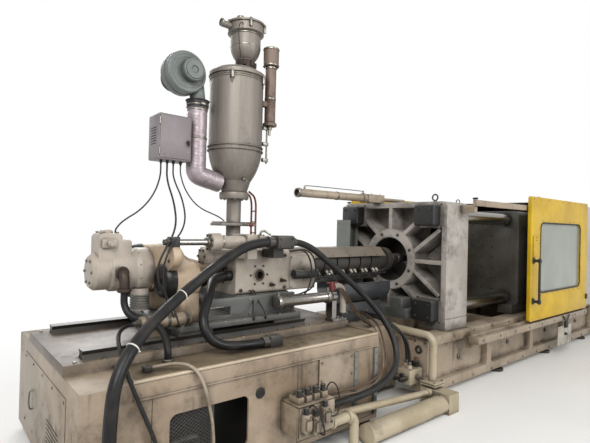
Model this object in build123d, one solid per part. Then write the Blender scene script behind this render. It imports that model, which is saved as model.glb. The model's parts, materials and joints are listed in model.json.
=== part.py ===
from build123d import *
import os
from math import radians, tan

# An injection molding machine of about 650 tonnes, in mm.
# X runs along the screw from the injection end to the clamp end, Y to the far side, Z up.
# The origin is on the floor, on the machine's centreline, at mid-length.

# Layout along the machine
bed_rear_x = -4450
bed_step_x = -2100
clamp_bed_x = -1300
clamp_end_x = 4450
platen_rear_x = -900
platen_depth = 420
axis_z = 1300
foot_height = 60
pad_r = 95
pad_height = 25
pad_neck_r = 38
pad_inset = 120
pad_side_inset = 70
land_length = 220
land_width = 140
land_height = 20
seat_gap = 0.3

# Injection bed
bed_half = 850
bed_top_z = 755
bed_wall = 20
neck_half = 430
neck_top_z = 680
grille_x = -3950
grille_length = 550
grille_z = 200
grille_height = 330
grille_corner = 45
plate_x = -2780
plate_length = 400
plate_z = 330
plate_height = 330
plate_thickness = 12

# Deck, plinth and rails
tray_rim = 20
tray_height = 22
tray_floor = 8
tray_x0 = -4170
plinth_half = 500
plinth_top_z = 816
rail_y = 400
rail_width = 90
rail_height = 56
rail_x0 = -4330
rail_x1 = -2560

# Carriage
carriage_x0 = -3720
carriage_x1 = -2640
carriage_half = 470
cheek_half = 385
cheek_sheet = 40
far_cheek_top = 1000
shoe_length = 260
shoe_height = 30
base_floor = 40
block_x0 = -3180
block_x1 = -2640
block_half = 300
block_z0 = 1095
block_z1 = 1450
block_corner = 30
port_from_rear = 225
port_drop = 54
port_r = 42
port_depth = 30
port_rim = 12

# Barrel, bands and cover
barrel_r = 105
band_r = 122
band_length = 150
band_pitch = 172
band_count = 8
barrel_bore_r = 100
barrel_flange_r = 190
barrel_flange = 60
barrel_front_x = -1080
adaptor_r = 92
nozzle_r = 36
nozzle_tip_x = -500
first_band = 30
hood_half = 165
hood_top_half = 85
hood_rise = 145
hood_foot = 55
hood_sheet = 4
hood_margin = 25
hood_rib = 20

# Injection cylinders, crosshead and motor
cylinder_y = 400
cylinder_rise = 219
cylinder_r = 47
cylinder_flange_r = 66
cylinder_reach = 294
cylinder_flange_x = block_x0 - cylinder_reach
cylinder_flange = 83
cylinder_past = 120
cylinder_end_x = block_x0 + cylinder_past
cylinder_end = 90
cylinder_end_half = 50
rod_r = 22
crosshead_x = -3780
crosshead_depth = 60
crosshead_boss_r = 80
boss_drop = 100
rod_bracket_half = 42
rod_bracket_rise = 38
web_half = 62
hub_housing_r = 172
hub_housing_length = 180
drive_shaft_r = 55
pod_y = 290
pod_drop = 55
pod_r = 125
pod_length = 200
cap_r = 97
cap_depth = 72
motor_r = 146
motor_length = 410
motor_flange_r = 164
motor_flange = 90
motor_valve_half = 95
motor_valve_rise = 125
drain_can_r = 68
drain_can_drop = 285

# Shift cylinders
shift_y = 440
shift_z = 1035
shift_r = 45
shift_rod_r = 20
shift_x0 = -2880
shift_x1 = -2292
shift_foot = 165
shift_foot_thick = 22
shift_post = 52
shift_eye_r = 50
shift_neck = 34

# Hopper dryer and loader
hopper_from_block = 155
hopper_x = block_x0 + hopper_from_block
throat_r = 62
throat_plate = 340
slide_z = 1640
throat_top_z = 1870
cone_bottom_r = 106
cone_bottom_z = 1925
cone_height = 355
hopper_r = 228
hopper_height = 625
hopper_seam = 22
collar_over = 12
collar_height = 28
dome_height = 82
loader_shift = 78
loader_neck_r = 82
loader_neck = 90
loader_bulb_r = 131
loader_bulb = 215
loader_band_r = 157
loader_band = 85
loader_lid_over = 11
loader_lid = 15
spigot_r = 32

# Blower, duct, control box and return pipe
duct_reach = 367
duct_r = 81
duct_elbow_z = 2050
duct_end_z = 1995
duct_inside = 130
duct_bend = 105
duct_z1 = 2580
duct_clamp = 62
blower_back = 128
blower_z = 2835
blower_r = 165
blower_depth = 150
blower_cap_shift = 28
blower_cap_r = 86
blower_cap_depth = 62
outlet_r = 52
box_width = 265
box_depth = 190
box_gap = 12
box_z0 = 2130
box_z1 = 2475
return_out = 268
return_y = -125
return_r = 48
return_z0 = 2520
return_length = 520
filter_r = 68
filter_height = 160

# Fixed platen
platen_half = 735
platen_z0 = 660
platen_z1 = 1950
platen_corner = 70
platen_rim = 62
pocket_depth = 250
rib = 44
platen_foot = 320
hub_r = 350
hub_bore_r = 249
hub_bore_depth = 330
locating_r = 80
tie_y = 530
tie_z = 500
tie_r = 75
boss_width = 290
boss_height = 260
nut_margin = 38
nut_length = 125
nut_cap = 22

# Moving platen, tail platen and clamp cylinder
moving_x = 820
moving_depth = 360
moving_half = 700
moving_height = 1230
tail_x = 3350
tail_depth = 360
ram_r = 190
clamp_r = 300
clamp_length = 1150

# Clamp bed and cover
clamp_bed_half = 800
clamp_bed_top = 600
beam_width = 180
beam_flange = 60
web_bays = 5
cover_open_x = 1350
cover_half = 860
cover_top_z = 2060
cover_wall = 12
cover_bend = 60

# Sliding gate
gate_x0 = 540
gate_length = 1890
gate_z0 = 570
gate_z1 = 2080
gate_y = -950
gate_depth = 44
gate_corner = 25
window_inset_left = 275
window_inset_right = 290
window_z0 = 905
window_z1 = 1760
window_corner = 70
glass = 8
gate_stroke = 1070
handle_x = 610
handle_z0 = 816
handle_z1 = 1305
handle_r = 14
handle_reach = 75
gate_rail_y = -895
gate_rail = 40
top_rail_z = 1940
top_rail_height = 64
sill_z0 = 470
sill_z1 = 545

# Cylinder on the platen's top
top_tube_y = 200
top_tube_r = 43
top_tube_z = 1995
top_tube_x0 = -2150
top_tube_x1 = -1120
top_clamp_half = 60
top_clamp_rise = 48
top_bar_r = 22
top_bar_past = 90
mouth_wall = 8
collar_length = 60

# Bridge across the platen's rear
bridge_depth = 190
bridge_half = 385
bridge_top_z = 790
bridge_box_y0 = -320
bridge_box_y1 = -170
bridge_box_top_z = 900

# Trough under the nozzle
trough_x0 = -1850
trough_length = 720
trough_half = 200
trough_top_z = 1080
trough_depth = 210
trough_corner = 150
pedestal_half = 120
pedestal_inset = 60
trough_sheet = 6

# Pipes on the near side
pipe_r = 36
pipe_x = clamp_bed_x - pipe_r - 4
pipe_y = -885
pipe_z = 642
pipe_bend = 80
floor_pipe_r = 80
floor_pipe_x0 = -2450
floor_pipe_x1 = -1440
floor_pipe_y = -1045
drain_r = 30
drain_y = -930
drain_high_z = 262
drain_low_z = 150
short_pipe_r = 36
short_pipe_x = -2540
short_pipe_y = -1000
short_pipe_z = 245
valve_x = clamp_bed_x - 100
valve_y = -675
valve_z0 = 170
valve_z1 = 310
port_rise = 40

# Valve on the block's rear and tube on the carriage
flange_valve_y = -235
flange_valve_z = 1405
flange_valve_r = 44
flange_valve_length = 265
oil_tube_r = 44
oil_tube_x0 = -3980
oil_tube_x1 = -3630
oil_tube_y = -425

# Hoses
arc_share = 0.45
big_hose_r = 35
loop_hose_r = 33
front_hose_r = 27
thin_hose_r = 12
side_cable_r = 10
elbow_x = -4345
elbow_y = -bed_half - 155
elbow_z = 400
elbow_drop = 110
elbow_bend = 60
tray_fitting_x = -3120
tray_fitting_y = -665
tray_fitting_length = 110
tray_hose_z = bed_top_z + tray_floor + loop_hose_r + 6
manifold_x = -2800
manifold_length = 330
manifold_y = -bed_half - 90
manifold_z = 335
manifold_half = 105
cable_x = -3675
cable_y = -bed_half - 32
cable_z = 200
cable_gland_x = -4010
cable_gland_y = -700
cable_gland_z = bed_top_z + 31
gland_half = 25
saddle_x0 = -2960
saddle_x1 = -2800
saddle_y = -500
saddle_z = 1522


def block(x, y, z):
    """A box between two places on each axis."""
    spans = (x, y, z)
    middle = [(low + high) / 2 for low, high in spans]
    return Pos(*middle) * Box(*[high - low for low, high in spans])


def shaft_x(x, y, z, radius):
    """A round bar along X between two places."""
    return Pos((x[0] + x[1]) / 2, y, z) * Rot(0, 90, 0) * Cylinder(radius, x[1] - x[0])


def shaft_y(x, y, z, radius):
    """A round bar along Y between two places."""
    return Pos(x, (y[0] + y[1]) / 2, z) * Rot(90, 0, 0) * Cylinder(radius, y[1] - y[0])


def shaft_z(x, y, z, radius):
    """A round bar along Z between two places."""
    return Pos(x, y, (z[0] + z[1]) / 2) * Cylinder(radius, z[1] - z[0])


def across(x):
    """A plane across the machine at x, with its own axes along Y and Z from the screw's axis."""
    return Plane(origin=(x, 0, axis_z), x_dir=(0, 1, 0), z_dir=(1, 0, 0))


def both_sides(shape):
    """The shape and its mirror image across the machine's centreline."""
    return Compound(children=[shape, mirror(shape, about=Plane.XZ)])


def revolve_x(points, x_axis_z=axis_z):
    """A turned body about a line along X, from (x, radius) points."""
    outline = Plane.XZ * make_face(Polyline([(x, r) for x, r in points] + [points[0]]))
    return Pos(0, 0, x_axis_z) * revolve(outline, Axis.X)


def tie_bar_places():
    """The four tie bars' centres, as Y and Z from the screw's axis."""
    return [(y, z) for y in (-tie_y, tie_y) for z in (-tie_z, tie_z)]


def injection_bed():
    """Welded bed, open below, with a grille opening in each side and a plinth on top for the rails."""
    shell = block((bed_rear_x, bed_step_x), (-bed_half, bed_half), (foot_height, bed_top_z))
    inside = block(
        (bed_rear_x + bed_wall, bed_step_x - bed_wall),
        (-bed_half + bed_wall, bed_half - bed_wall),
        (foot_height - 1, bed_top_z - bed_wall),
    )
    opening = Pos(grille_x + grille_length / 2, 0, grille_z + grille_height / 2) * Rot(90, 0, 0) * extrude(
        RectangleRounded(grille_length, grille_height, grille_corner), bed_half + 1, both=True
    )
    skirt = block((tray_x0, bed_step_x), (-bed_half - 6, -bed_half), (bed_top_z - 95, bed_top_z))
    plinth = block((bed_rear_x, bed_step_x), (-plinth_half, plinth_half), (bed_top_z, plinth_top_z))
    bed = shell - inside - opening + plinth + skirt + mirror(skirt, about=Plane.XZ)
    return bed.fuse(*foot_lands())


def bed_neck():
    """Narrow box, open below, that joins the injection bed to the clamp bed."""
    neck = block((bed_step_x, clamp_bed_x), (-neck_half, neck_half), (foot_height, neck_top_z))
    inside = block(
        (bed_step_x + bed_wall, clamp_bed_x - bed_wall),
        (-neck_half + bed_wall, neck_half - bed_wall),
        (foot_height - 1, neck_top_z - bed_wall),
    )
    return neck - inside


def drip_trays():
    """Drip trays along both sides of the plinth, with raised rims."""
    x = (tray_x0, bed_step_x)
    y = (-bed_half, -plinth_half - seat_gap)
    tray = block(x, y, (bed_top_z, bed_top_z + tray_height))
    hollow = block(
        (x[0] + tray_rim, x[1] - tray_rim),
        (y[0] + tray_rim, y[1] + 1),
        (bed_top_z + tray_floor, bed_top_z + tray_height + 1),
    )
    return both_sides(tray - hollow)


def guide_rails():
    """Two rails with relieved sides, which the carriage's shoes grip."""
    waist = rail_width * 0.55
    half_height = rail_height / 2
    profile = Polyline(
        (-rail_width / 2, 0),
        (rail_width / 2, 0),
        (waist / 2, half_height),
        (rail_width / 2, rail_height),
        (-rail_width / 2, rail_height),
        (-waist / 2, half_height),
        (-rail_width / 2, 0),
    )
    start = Plane(origin=(rail_x0, -rail_y, plinth_top_z), x_dir=(0, 1, 0), z_dir=(1, 0, 0))
    return both_sides(extrude(start * make_face(profile), rail_x1 - rail_x0))


def mesh_grille():
    """Grille panels behind the openings of both sides."""
    panel = block(
        (grille_x - 30, grille_x + grille_length * 0.55),
        (-bed_half + bed_wall + seat_gap, -bed_half + bed_wall + 5),
        (grille_z - 30, grille_z + grille_height + 30),
    )
    return both_sides(panel)


def front_plate():
    """Bolted plates on the bed's sides beside the grille openings."""
    plate = block(
        (plate_x, plate_x + plate_length),
        (-bed_half - plate_thickness, -bed_half),
        (plate_z, plate_z + plate_height),
    )
    return both_sides(plate)


def spread(start, end, count):
    """Evenly spread places between two ends."""
    return [start + (end - start) * i / (count - 1) for i in range(count)]


def bed_pad_xs():
    """Where the injection bed's pads stand along X."""
    return spread(bed_rear_x + pad_inset, bed_step_x - pad_inset, 3)


def levelling_feet():
    """Pads under both beds: a plate, a neck and a seat under the bed's wall."""
    pads = []
    rows = [
        (bed_half - pad_side_inset, bed_pad_xs()),
        (clamp_bed_half - beam_width / 2, spread(clamp_bed_x + 1.5 * pad_inset, clamp_end_x - 1.5 * pad_inset, 5)),
    ]
    for half, places in rows:
        for x in places:
            for y in (-half, half):
                neck = shaft_z(x, y, (pad_height, foot_height), pad_neck_r)
                pads.append(shaft_z(x, y, (0, pad_height), pad_r) + neck)
    return Compound(children=pads)


def foot_lands():
    """Cross plates in the injection bed's bottom, which its pads carry."""
    lands = []
    for x in bed_pad_xs():
        for y in (-bed_half + pad_side_inset, bed_half - pad_side_inset):
            across_x = (x - land_length / 2, x + land_length / 2)
            across_y = (y - land_width / 2, y + land_width / 2)
            lands.append(block(across_x, across_y, (foot_height, foot_height + land_height)))
    return lands


def carriage_base():
    """Sliding frame: shoes on the rails, a floor, cheeks with a window, and the block's support."""
    rail_top = plinth_top_z + rail_height
    floor_z = carriage_floor_z() - base_floor
    base = block((carriage_x0, carriage_x1), (-carriage_half, carriage_half), (floor_z, floor_z + base_floor))
    for x in (carriage_x0, carriage_x1 - shoe_length):
        for y in (-rail_y, rail_y):
            edge = rail_width / 2 + 10
            base = base + block((x, x + shoe_length), (y - edge, y + edge), (rail_top + seat_gap, floor_z))
    wall_x = (crosshead_x + crosshead_depth + pod_length + 15, block_x1)
    near = block(wall_x, (-cheek_half, -cheek_half + cheek_sheet), (carriage_floor_z(), block_z0))
    window = block(
        (wall_x[0] + 40, block_x0 - 90),
        (-cheek_half - 1, -cheek_half + cheek_sheet + 1),
        (carriage_floor_z() + 25, block_z0 - 65),
    )
    far = block(wall_x, (cheek_half - cheek_sheet, cheek_half), (carriage_floor_z(), far_cheek_top))
    support = block((block_x0, block_x1), (-block_half, block_half), (carriage_floor_z(), block_z0))
    return base + (near - window) + far + support


def throat_block():
    """Cast block that holds the barrel's root, with ports in its sides and ears for the cylinders."""
    body = block((block_x0, block_x1), (-block_half, block_half), (block_z0, block_z1))
    body = fillet(body.edges().filter_by(Axis.X), block_corner)
    bore = shaft_x((block_x0 - 1, block_x1 + 1), 0, axis_z, barrel_bore_r)
    port_x = block_x0 + port_from_rear
    port_z = axis_z - port_drop
    port = shaft_y(port_x, (-block_half - port_rim - 1, -block_half + port_depth), port_z, port_r)
    rim = shaft_y(port_x, (-block_half - port_rim, -block_half + 5), port_z, port_r + port_rim)
    ear_z = axis_z + cylinder_rise
    ear_x = (block_x0, block_x0 + 90)
    low_z = axis_z - cylinder_rise
    ear = block(ear_x, (-cylinder_y - 60, -block_half), (ear_z - 130, ear_z + 60))
    ear = ear + block(ear_x, (-block_half, -block_half + 60), (block_z1 - 60, ear_z + 60))
    far_ear = block(ear_x, (block_half, cylinder_y + 60), (low_z - 40, low_z + 130))
    ears = ear + far_ear
    for y, z in cylinder_places():
        ears = ears - shaft_x((block_x0 - 1, block_x0 + 91), y, z, cylinder_r + seat_gap)
    feed = shaft_z(hopper_x, 0, (axis_z, block_z1 + 1), throat_r - 10)
    return body + rim + ears - bore - port - feed


def cylinder_places():
    """The injection cylinders' centres, one high on the near side and one low on the far side."""
    return [(-cylinder_y, axis_z + cylinder_rise), (cylinder_y, axis_z - cylinder_rise)]


def injection_cylinders():
    """Two cylinders with bolted front flanges and end blocks."""
    parts = []
    for y, z in cylinder_places():
        flange_x = (cylinder_flange_x, cylinder_flange_x + cylinder_flange)
        body = shaft_x((cylinder_flange_x, cylinder_end_x), y, z, cylinder_r)
        flange = shaft_x(flange_x, y, z, cylinder_flange_r)
        end = block(
            (cylinder_end_x, cylinder_end_x + cylinder_end),
            (y - cylinder_end_half, y + cylinder_end_half),
            (z - cylinder_end_half, z + cylinder_end_half),
        )
        bore = shaft_x((cylinder_flange_x - 1, cylinder_flange_x + cylinder_flange), y, z, rod_r + seat_gap)
        parts.append(body + flange + end - bore)
    return Compound(children=parts)


def injection_rods():
    """Chrome rods from the crosshead's bosses into the cylinders."""
    return Compound(
        children=[
            shaft_x((crosshead_x + crosshead_depth, cylinder_flange_x + 60), y, z, rod_r)
            for y, z in cylinder_places()
        ]
    )


def pod_places():
    """The crosshead's two side housings, as Y and Z, low on the near side and high on the far side."""
    return [(-pod_y, axis_z - pod_drop), (pod_y, axis_z + pod_drop)]


def carriage_floor_z():
    """The top of the carriage's floor."""
    return plinth_top_z + rail_height + seat_gap + shoe_height + base_floor


def boss_places():
    """The crosshead's bosses, each nearer the screw's axis than its rod."""
    rise = cylinder_rise - boss_drop
    return [(-cylinder_y, rise), (cylinder_y, -rise)]


def half_turn(shape):
    """The shape turned half round about the screw's axis."""
    return Pos(0, 0, axis_z) * Rot(180, 0, 0) * Pos(0, 0, -axis_z) * shape


def crosshead_arm(place, grow):
    """Arm from the hub out to one boss, grown on its outline."""
    lobes = Circle(hub_housing_r + grow) + Pos(*place) * Circle(crosshead_boss_r + grow)
    return extrude(across(crosshead_x) * make_hull(lobes.edges()), crosshead_depth)


def crosshead_web():
    """Web that sweeps in a hollow curve from the near boss down to its side housing."""
    front = crosshead_x + crosshead_depth
    top = axis_z + cylinder_rise - boss_drop + crosshead_boss_r - 12
    low = axis_z - pod_drop + pod_r - 4
    reach = pod_length * 0.8
    curve = ThreePointArc((front, top), (front + reach * 0.38, low + (top - low) * 0.36), (front + reach, low))
    foot = axis_z - pod_drop
    edges = Polyline((front + reach, low), (front + reach, foot), (front, foot), (front, top))
    outline = Plane.XZ * make_face(curve + edges)
    return Pos(0, -pod_y - 30, 0) * extrude(outline, web_half, both=True)


def crosshead():
    """Casting with an arm to each rod, a hub housing, two side housings and their tapered legs."""
    front = crosshead_x + crosshead_depth
    near_boss, far_boss = boss_places()
    casting = crosshead_arm(near_boss, 0) + crosshead_arm(far_boss, 0)
    end = front + hub_housing_length
    casting = casting + revolve_x(
        [
            (front, 0),
            (front, hub_housing_r),
            (end, hub_housing_r),
            (end + 45, hub_housing_r - 60),
            (end + 100, drive_shaft_r + 22),
            (end + 180, drive_shaft_r),
            (block_x0 + 60, drive_shaft_r),
            (block_x0 + 60, 0),
        ]
    )
    casting = casting + crosshead_web() + half_turn(crosshead_web())
    for y, z in pod_places():
        pod = shaft_x((front - cap_depth / 2, front + pod_length), y, z, pod_r)
        rim = pod.edges().sort_by(Axis.X)[-1]
        pod = fillet(rim, 30)
        top = Plane(origin=(front + pod_length / 2, y, z)) * RectangleRounded(pod_length * 0.9, 1.5 * pod_r, 20)
        foot = Plane(origin=(front + pod_length / 2 + 55, y, carriage_floor_z())) * RectangleRounded(125, 115, 20)
        casting = casting + pod + loft([foot, top])
        casting = casting - shaft_x((crosshead_x - 1, front), y, z, cap_r + seat_gap)
    return casting


def rod_brackets():
    """Brackets that sit on the crosshead's bosses and hold the rods' ends."""
    brackets = []
    for (y, rod_z), boss in zip(cylinder_places(), boss_places()):
        outward = 1 if rod_z > axis_z else -1
        spans = sorted((axis_z + boss[1], rod_z + outward * rod_bracket_rise))
        body = block(
            (crosshead_x, crosshead_x + crosshead_depth), (y - rod_bracket_half, y + rod_bracket_half), spans
        )
        brackets.append(body - crosshead_arm(boss, seat_gap))
    return Compound(children=brackets)


def hydraulic_motor():
    """Stepped motor body on a round flange, with a valve block on top and a drain can below."""
    flange_x = crosshead_x - motor_flange
    motor_x0 = crosshead_x - motor_length
    body = revolve_x(
        [
            (motor_x0, 0),
            (motor_x0, motor_r - 40),
            (motor_x0 + 30, motor_r - 14),
            (motor_x0 + 120, motor_r - 14),
            (motor_x0 + 135, motor_r),
            (flange_x - 25, motor_r),
            (flange_x, motor_flange_r),
            (crosshead_x - seat_gap, motor_flange_r),
            (crosshead_x - seat_gap, 0),
        ]
    )
    top_z = axis_z + motor_r + motor_valve_rise
    valve = block((motor_x0 + 40, motor_x0 + 200), (-motor_valve_half, motor_valve_half), (axis_z, top_z))
    valve = fillet(valve.edges().filter_by(Axis.Y).group_by(Axis.Z)[-1], 40)
    step = block((motor_x0 + 190, motor_x0 + 265), (-motor_valve_half, 0), (axis_z, top_z - 45))
    step = fillet(step.edges().filter_by(Axis.Y).group_by(Axis.Z)[-1], 25)
    can = shaft_z(
        crosshead_x - drain_can_r, -drain_can_r, (axis_z - drain_can_drop, axis_z - motor_r + 20), drain_can_r - 4
    )
    return body + valve + step + can


def end_caps():
    """Black caps let into the rear of the crosshead's side housings."""
    caps = []
    front = crosshead_x + crosshead_depth
    for y, z in pod_places():
        cap = shaft_x((front - cap_depth, front - seat_gap), y, z, cap_r)
        caps.append(fillet(cap.edges().sort_by(Axis.X)[0], 14))
    return Compound(children=caps)


def band_x(i):
    """Where a heater band starts."""
    return block_x1 + barrel_flange + first_band + i * band_pitch


def barrel():
    """Barrel with its root flange, heater bands, front flange and nozzle, as one turned body."""
    points = [(block_x1, 0), (block_x1, barrel_flange_r), (block_x1 + barrel_flange, barrel_flange_r)]
    points.append((block_x1 + barrel_flange, barrel_r))
    for i in range(band_count):
        x = band_x(i)
        points += [(x, barrel_r), (x, band_r), (x + band_length, band_r), (x + band_length, barrel_r)]
    points += [
        (barrel_front_x, barrel_r),
        (barrel_front_x, band_r + 12),
        (barrel_front_x + 80, band_r + 12),
        (barrel_front_x + 80, adaptor_r),
        (barrel_front_x + 220, nozzle_r + 12),
        (nozzle_tip_x - 60, nozzle_r),
        (nozzle_tip_x, nozzle_r - 18),
        (nozzle_tip_x, 0),
    ]
    return revolve_x(points)


def hood_outline(inset):
    """The folded hood's outline across the machine, closed along its foot."""
    points = [
        (-hood_half + inset, hood_foot),
        (-hood_top_half + inset / 2, hood_rise - inset),
        (hood_top_half - inset / 2, hood_rise - inset),
        (hood_half - inset, hood_foot),
    ]
    return make_face(Polyline(points + [points[0]]))


def barrel_cover():
    """Folded sheet hood over the barrel, on two end plates that sit on the first and last bands."""
    x0 = band_x(0) - hood_margin
    x1 = band_x(band_count - 1) + band_length + hood_margin
    hood = extrude(across(x0) * (hood_outline(0) - hood_outline(hood_sheet)), x1 - x0)
    for x in (band_x(0) + hood_margin, x1 - 2 * hood_margin - hood_rib):
        rib = hood_outline(hood_sheet / 2) - Circle(band_r + seat_gap)
        hood = hood + extrude(across(x) * rib, hood_rib)
    return hood


def shift_cylinders():
    """Carriage cylinders, each held to the carriage's cheek by two lugs."""
    body = shaft_x((shift_x0, shift_x1), -shift_y, shift_z, shift_r)
    for x in (shift_x0, shift_x1 - 45):
        body = body + shaft_x((x, x + 45), -shift_y, shift_z, shift_r + 10)
    for x in (shift_x0 + 60, block_x1 - 80):
        body = body + block((x, x + 60), (-shift_y, -cheek_half - seat_gap), (shift_z - 40, shift_z + 40))
    far_lug = block((shift_x0 + 60, block_x1 - 20), (cheek_half - cheek_sheet, shift_y), (far_cheek_top, shift_z))
    bore = shaft_x((shift_x0 + 20, shift_x1 + 1), -shift_y, shift_z, shift_rod_r + seat_gap)
    far = mirror(body, about=Plane.XZ) + far_lug - mirror(bore, about=Plane.XZ)
    return Compound(children=[body - bore, far])


def shift_rods():
    """Rods fixed to round-headed posts on the plinth, on which the carriage's cylinders slide."""
    rod = shaft_x((shift_x0 + 40, shift_x1 + 40), -shift_y, shift_z, shift_rod_r)
    x = (shift_x1 + 12, shift_x1 + 12 + shift_post)
    eye = shaft_x(x, -shift_y, shift_z, shift_eye_r)
    neck = block(x, (-shift_y - shift_neck, -shift_y + shift_neck), (plinth_top_z, shift_z))
    toe = block(
        (x[0], x[0] + shift_foot),
        (-shift_y - shift_eye_r, -shift_y + shift_eye_r),
        (plinth_top_z, plinth_top_z + shift_foot_thick),
    )
    return both_sides(rod + eye + neck + toe)


def feed_throat():
    """Feed pipe between the block and the hopper, with its slide plate and flanges."""
    base = shaft_z(hopper_x, 0, (block_z1, block_z1 + 100), 105)
    tube = shaft_z(hopper_x, 0, (block_z1 + 100, throat_top_z), throat_r)
    plate = block(
        (hopper_x - throat_plate / 2, hopper_x + throat_plate / 2), (-95, 95), (slide_z, slide_z + 24)
    )
    flange = shaft_z(hopper_x, 0, (throat_top_z, cone_bottom_z), 125)
    return base + tube + plate + flange


def cone_top_z():
    """Where the dryer's bowl meets its straight part."""
    return cone_bottom_z + cone_height


def hopper_top_z():
    """The top of the dryer's straight part."""
    return cone_top_z() + hopper_height


def loader_z0():
    """Where the loader's bulb starts."""
    return hopper_top_z() + dome_height + loader_neck


def turned(points):
    """A turned body about an upright axis, from (radius, z) points."""
    return revolve(Plane.XZ * make_face(Polyline(points + [points[0]])), Axis.Z)


def hopper():
    """Dryer vessel: a bowl with a round shoulder, a straight upper part and the seam between them."""
    z0 = cone_bottom_z
    z1 = cone_top_z()
    waist = (cone_bottom_r + (hopper_r - cone_bottom_r) * 0.25, z0 + cone_height * 0.27)
    shoulder = (cone_bottom_r + (hopper_r - cone_bottom_r) * 0.77, z0 + cone_height * 0.62)
    side = Line((cone_bottom_r, z0), waist) + ThreePointArc(waist, shoulder, (hopper_r, z1))
    rest = Polyline((hopper_r, z1), (hopper_r, hopper_top_z()), (0, hopper_top_z()), (0, z0), (cone_bottom_r, z0))
    body = revolve(Plane.XZ * make_face(side + rest), Axis.Z)
    seam = Cylinder(hopper_r + 6, hopper_seam)
    return Pos(hopper_x, 0, 0) * (body + Pos(0, 0, z1) * seam)


def hopper_lid():
    """Domed lid of the dryer with the neck that carries the loader."""
    z = hopper_top_z()
    collar_r = hopper_r + collar_over
    lid = turned(
        [
            (0, z),
            (collar_r, z),
            (collar_r, z + collar_height),
            (collar_r - 24, z + collar_height),
            (collar_r * 0.78, z + dome_height * 0.75),
            (collar_r * 0.5, z + dome_height),
            (0, z + dome_height),
        ]
    )
    neck = shaft_z(loader_shift, 0, (z + collar_height, loader_z0()), loader_neck_r)
    return Pos(hopper_x, 0, 0) * (lid + neck)


def loader():
    """Vacuum loader: a bulb, a wider band with its lid, and two capped spigots."""
    z0 = loader_z0()
    band_z = z0 + loader_bulb
    lid_z = band_z + loader_band
    lid_r = loader_band_r + loader_lid_over
    bulb_middle = z0 + loader_bulb_r - 12
    bulb = ThreePointArc(
        (loader_neck_r, z0), (loader_bulb_r * 0.92, z0 + (bulb_middle - z0) * 0.52), (loader_bulb_r, bulb_middle)
    )
    rest = Polyline(
        (loader_bulb_r, bulb_middle),
        (loader_bulb_r, band_z),
        (loader_band_r, band_z + 14),
        (loader_band_r, lid_z),
        (lid_r, lid_z),
        (lid_r, lid_z + loader_lid),
        (0, lid_z + loader_lid + 18),
        (0, z0),
        (loader_neck_r, z0),
    )
    body = revolve(Plane.XZ * make_face(bulb + rest), Axis.Z)
    top_spigot = shaft_z(-loader_band_r * 0.35, 0, (lid_z, lid_z + 75), spigot_r)
    middle_z = (band_z + lid_z) / 2 + 7
    side_spigot = shaft_x((-loader_band_r - 85, -loader_band_r + 25), 0, middle_z, spigot_r - 4)
    return Pos(hopper_x + loader_shift, 0, 0) * (body + top_spigot + side_spigot)


def duct_x():
    """The wrapped duct's upright axis."""
    return hopper_x - duct_reach


def blower():
    """Fan housing with a round intake cap and an outlet that leaves it sideways, down to the duct."""
    x = duct_x() - blower_back
    disc = shaft_y(x, (-blower_depth / 2, blower_depth / 2), blower_z, blower_r)
    disc = fillet(disc.edges(), 18)
    cap = shaft_y(
        x + blower_cap_shift, (-blower_depth / 2 - blower_cap_depth, -blower_depth / 2 + 5), blower_z + 8, blower_cap_r
    )
    cap = fillet(cap.edges().sort_by(Axis.Y)[0], 10)
    outlet_x = x + blower_r - outlet_r
    outlet = loft(
        [
            Plane(origin=(duct_x(), 0, duct_z1 + duct_clamp)) * Circle(outlet_r + 12),
            Plane(origin=(outlet_x, 0, blower_z)) * Circle(outlet_r),
        ]
    )
    clamp = shaft_z(duct_x(), 0, (duct_z1, duct_z1 + duct_clamp), duct_r + 5)
    return disc + cap + outlet + clamp


def blower_duct():
    """Wrapped duct down to an elbow that slopes into the dryer's bowl."""
    path = FilletPolyline(
        (duct_x(), 0, duct_z1),
        (duct_x(), 0, duct_elbow_z),
        (hopper_x - duct_inside, 0, duct_end_z),
        radius=duct_bend,
    )
    return round_sweep(path, duct_r) - hopper()


def control_box():
    """Cabinet of the dryer on two arms from the duct."""
    box_x = duct_x() - duct_r - box_gap - box_width
    body = block((box_x, box_x + box_width), (-box_depth / 2, box_depth / 2), (box_z0, box_z1))
    body = fillet(body.edges().filter_by(Axis.Y), 14)
    reach = duct_x() - duct_r + 12
    for z in (box_z0 + 90, box_z1 - 90):
        arm = block((box_x + box_width - 5, reach), (-25, 25), (z - 12, z + 12))
        body = body + arm
    return body - blower_duct()


def return_pipe():
    """Air pipe up the dryer's side to the filter beside the loader, on a shelf and a stub."""
    x = hopper_x + return_out
    z1 = return_z0 + return_length
    pipe = shaft_z(x, return_y, (return_z0, z1), return_r)
    flange = shaft_z(x, return_y, (return_z0, return_z0 + 22), return_r + 14)
    can = shaft_z(x, return_y, (z1, z1 + filter_height), filter_r)
    stub_z = return_z0 + return_length * 0.35
    stub = block((hopper_x, x), (return_y - 22, return_y + 22), (stub_z - 22, stub_z + 22))
    return pipe + flange + can + (stub - hopper())


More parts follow.
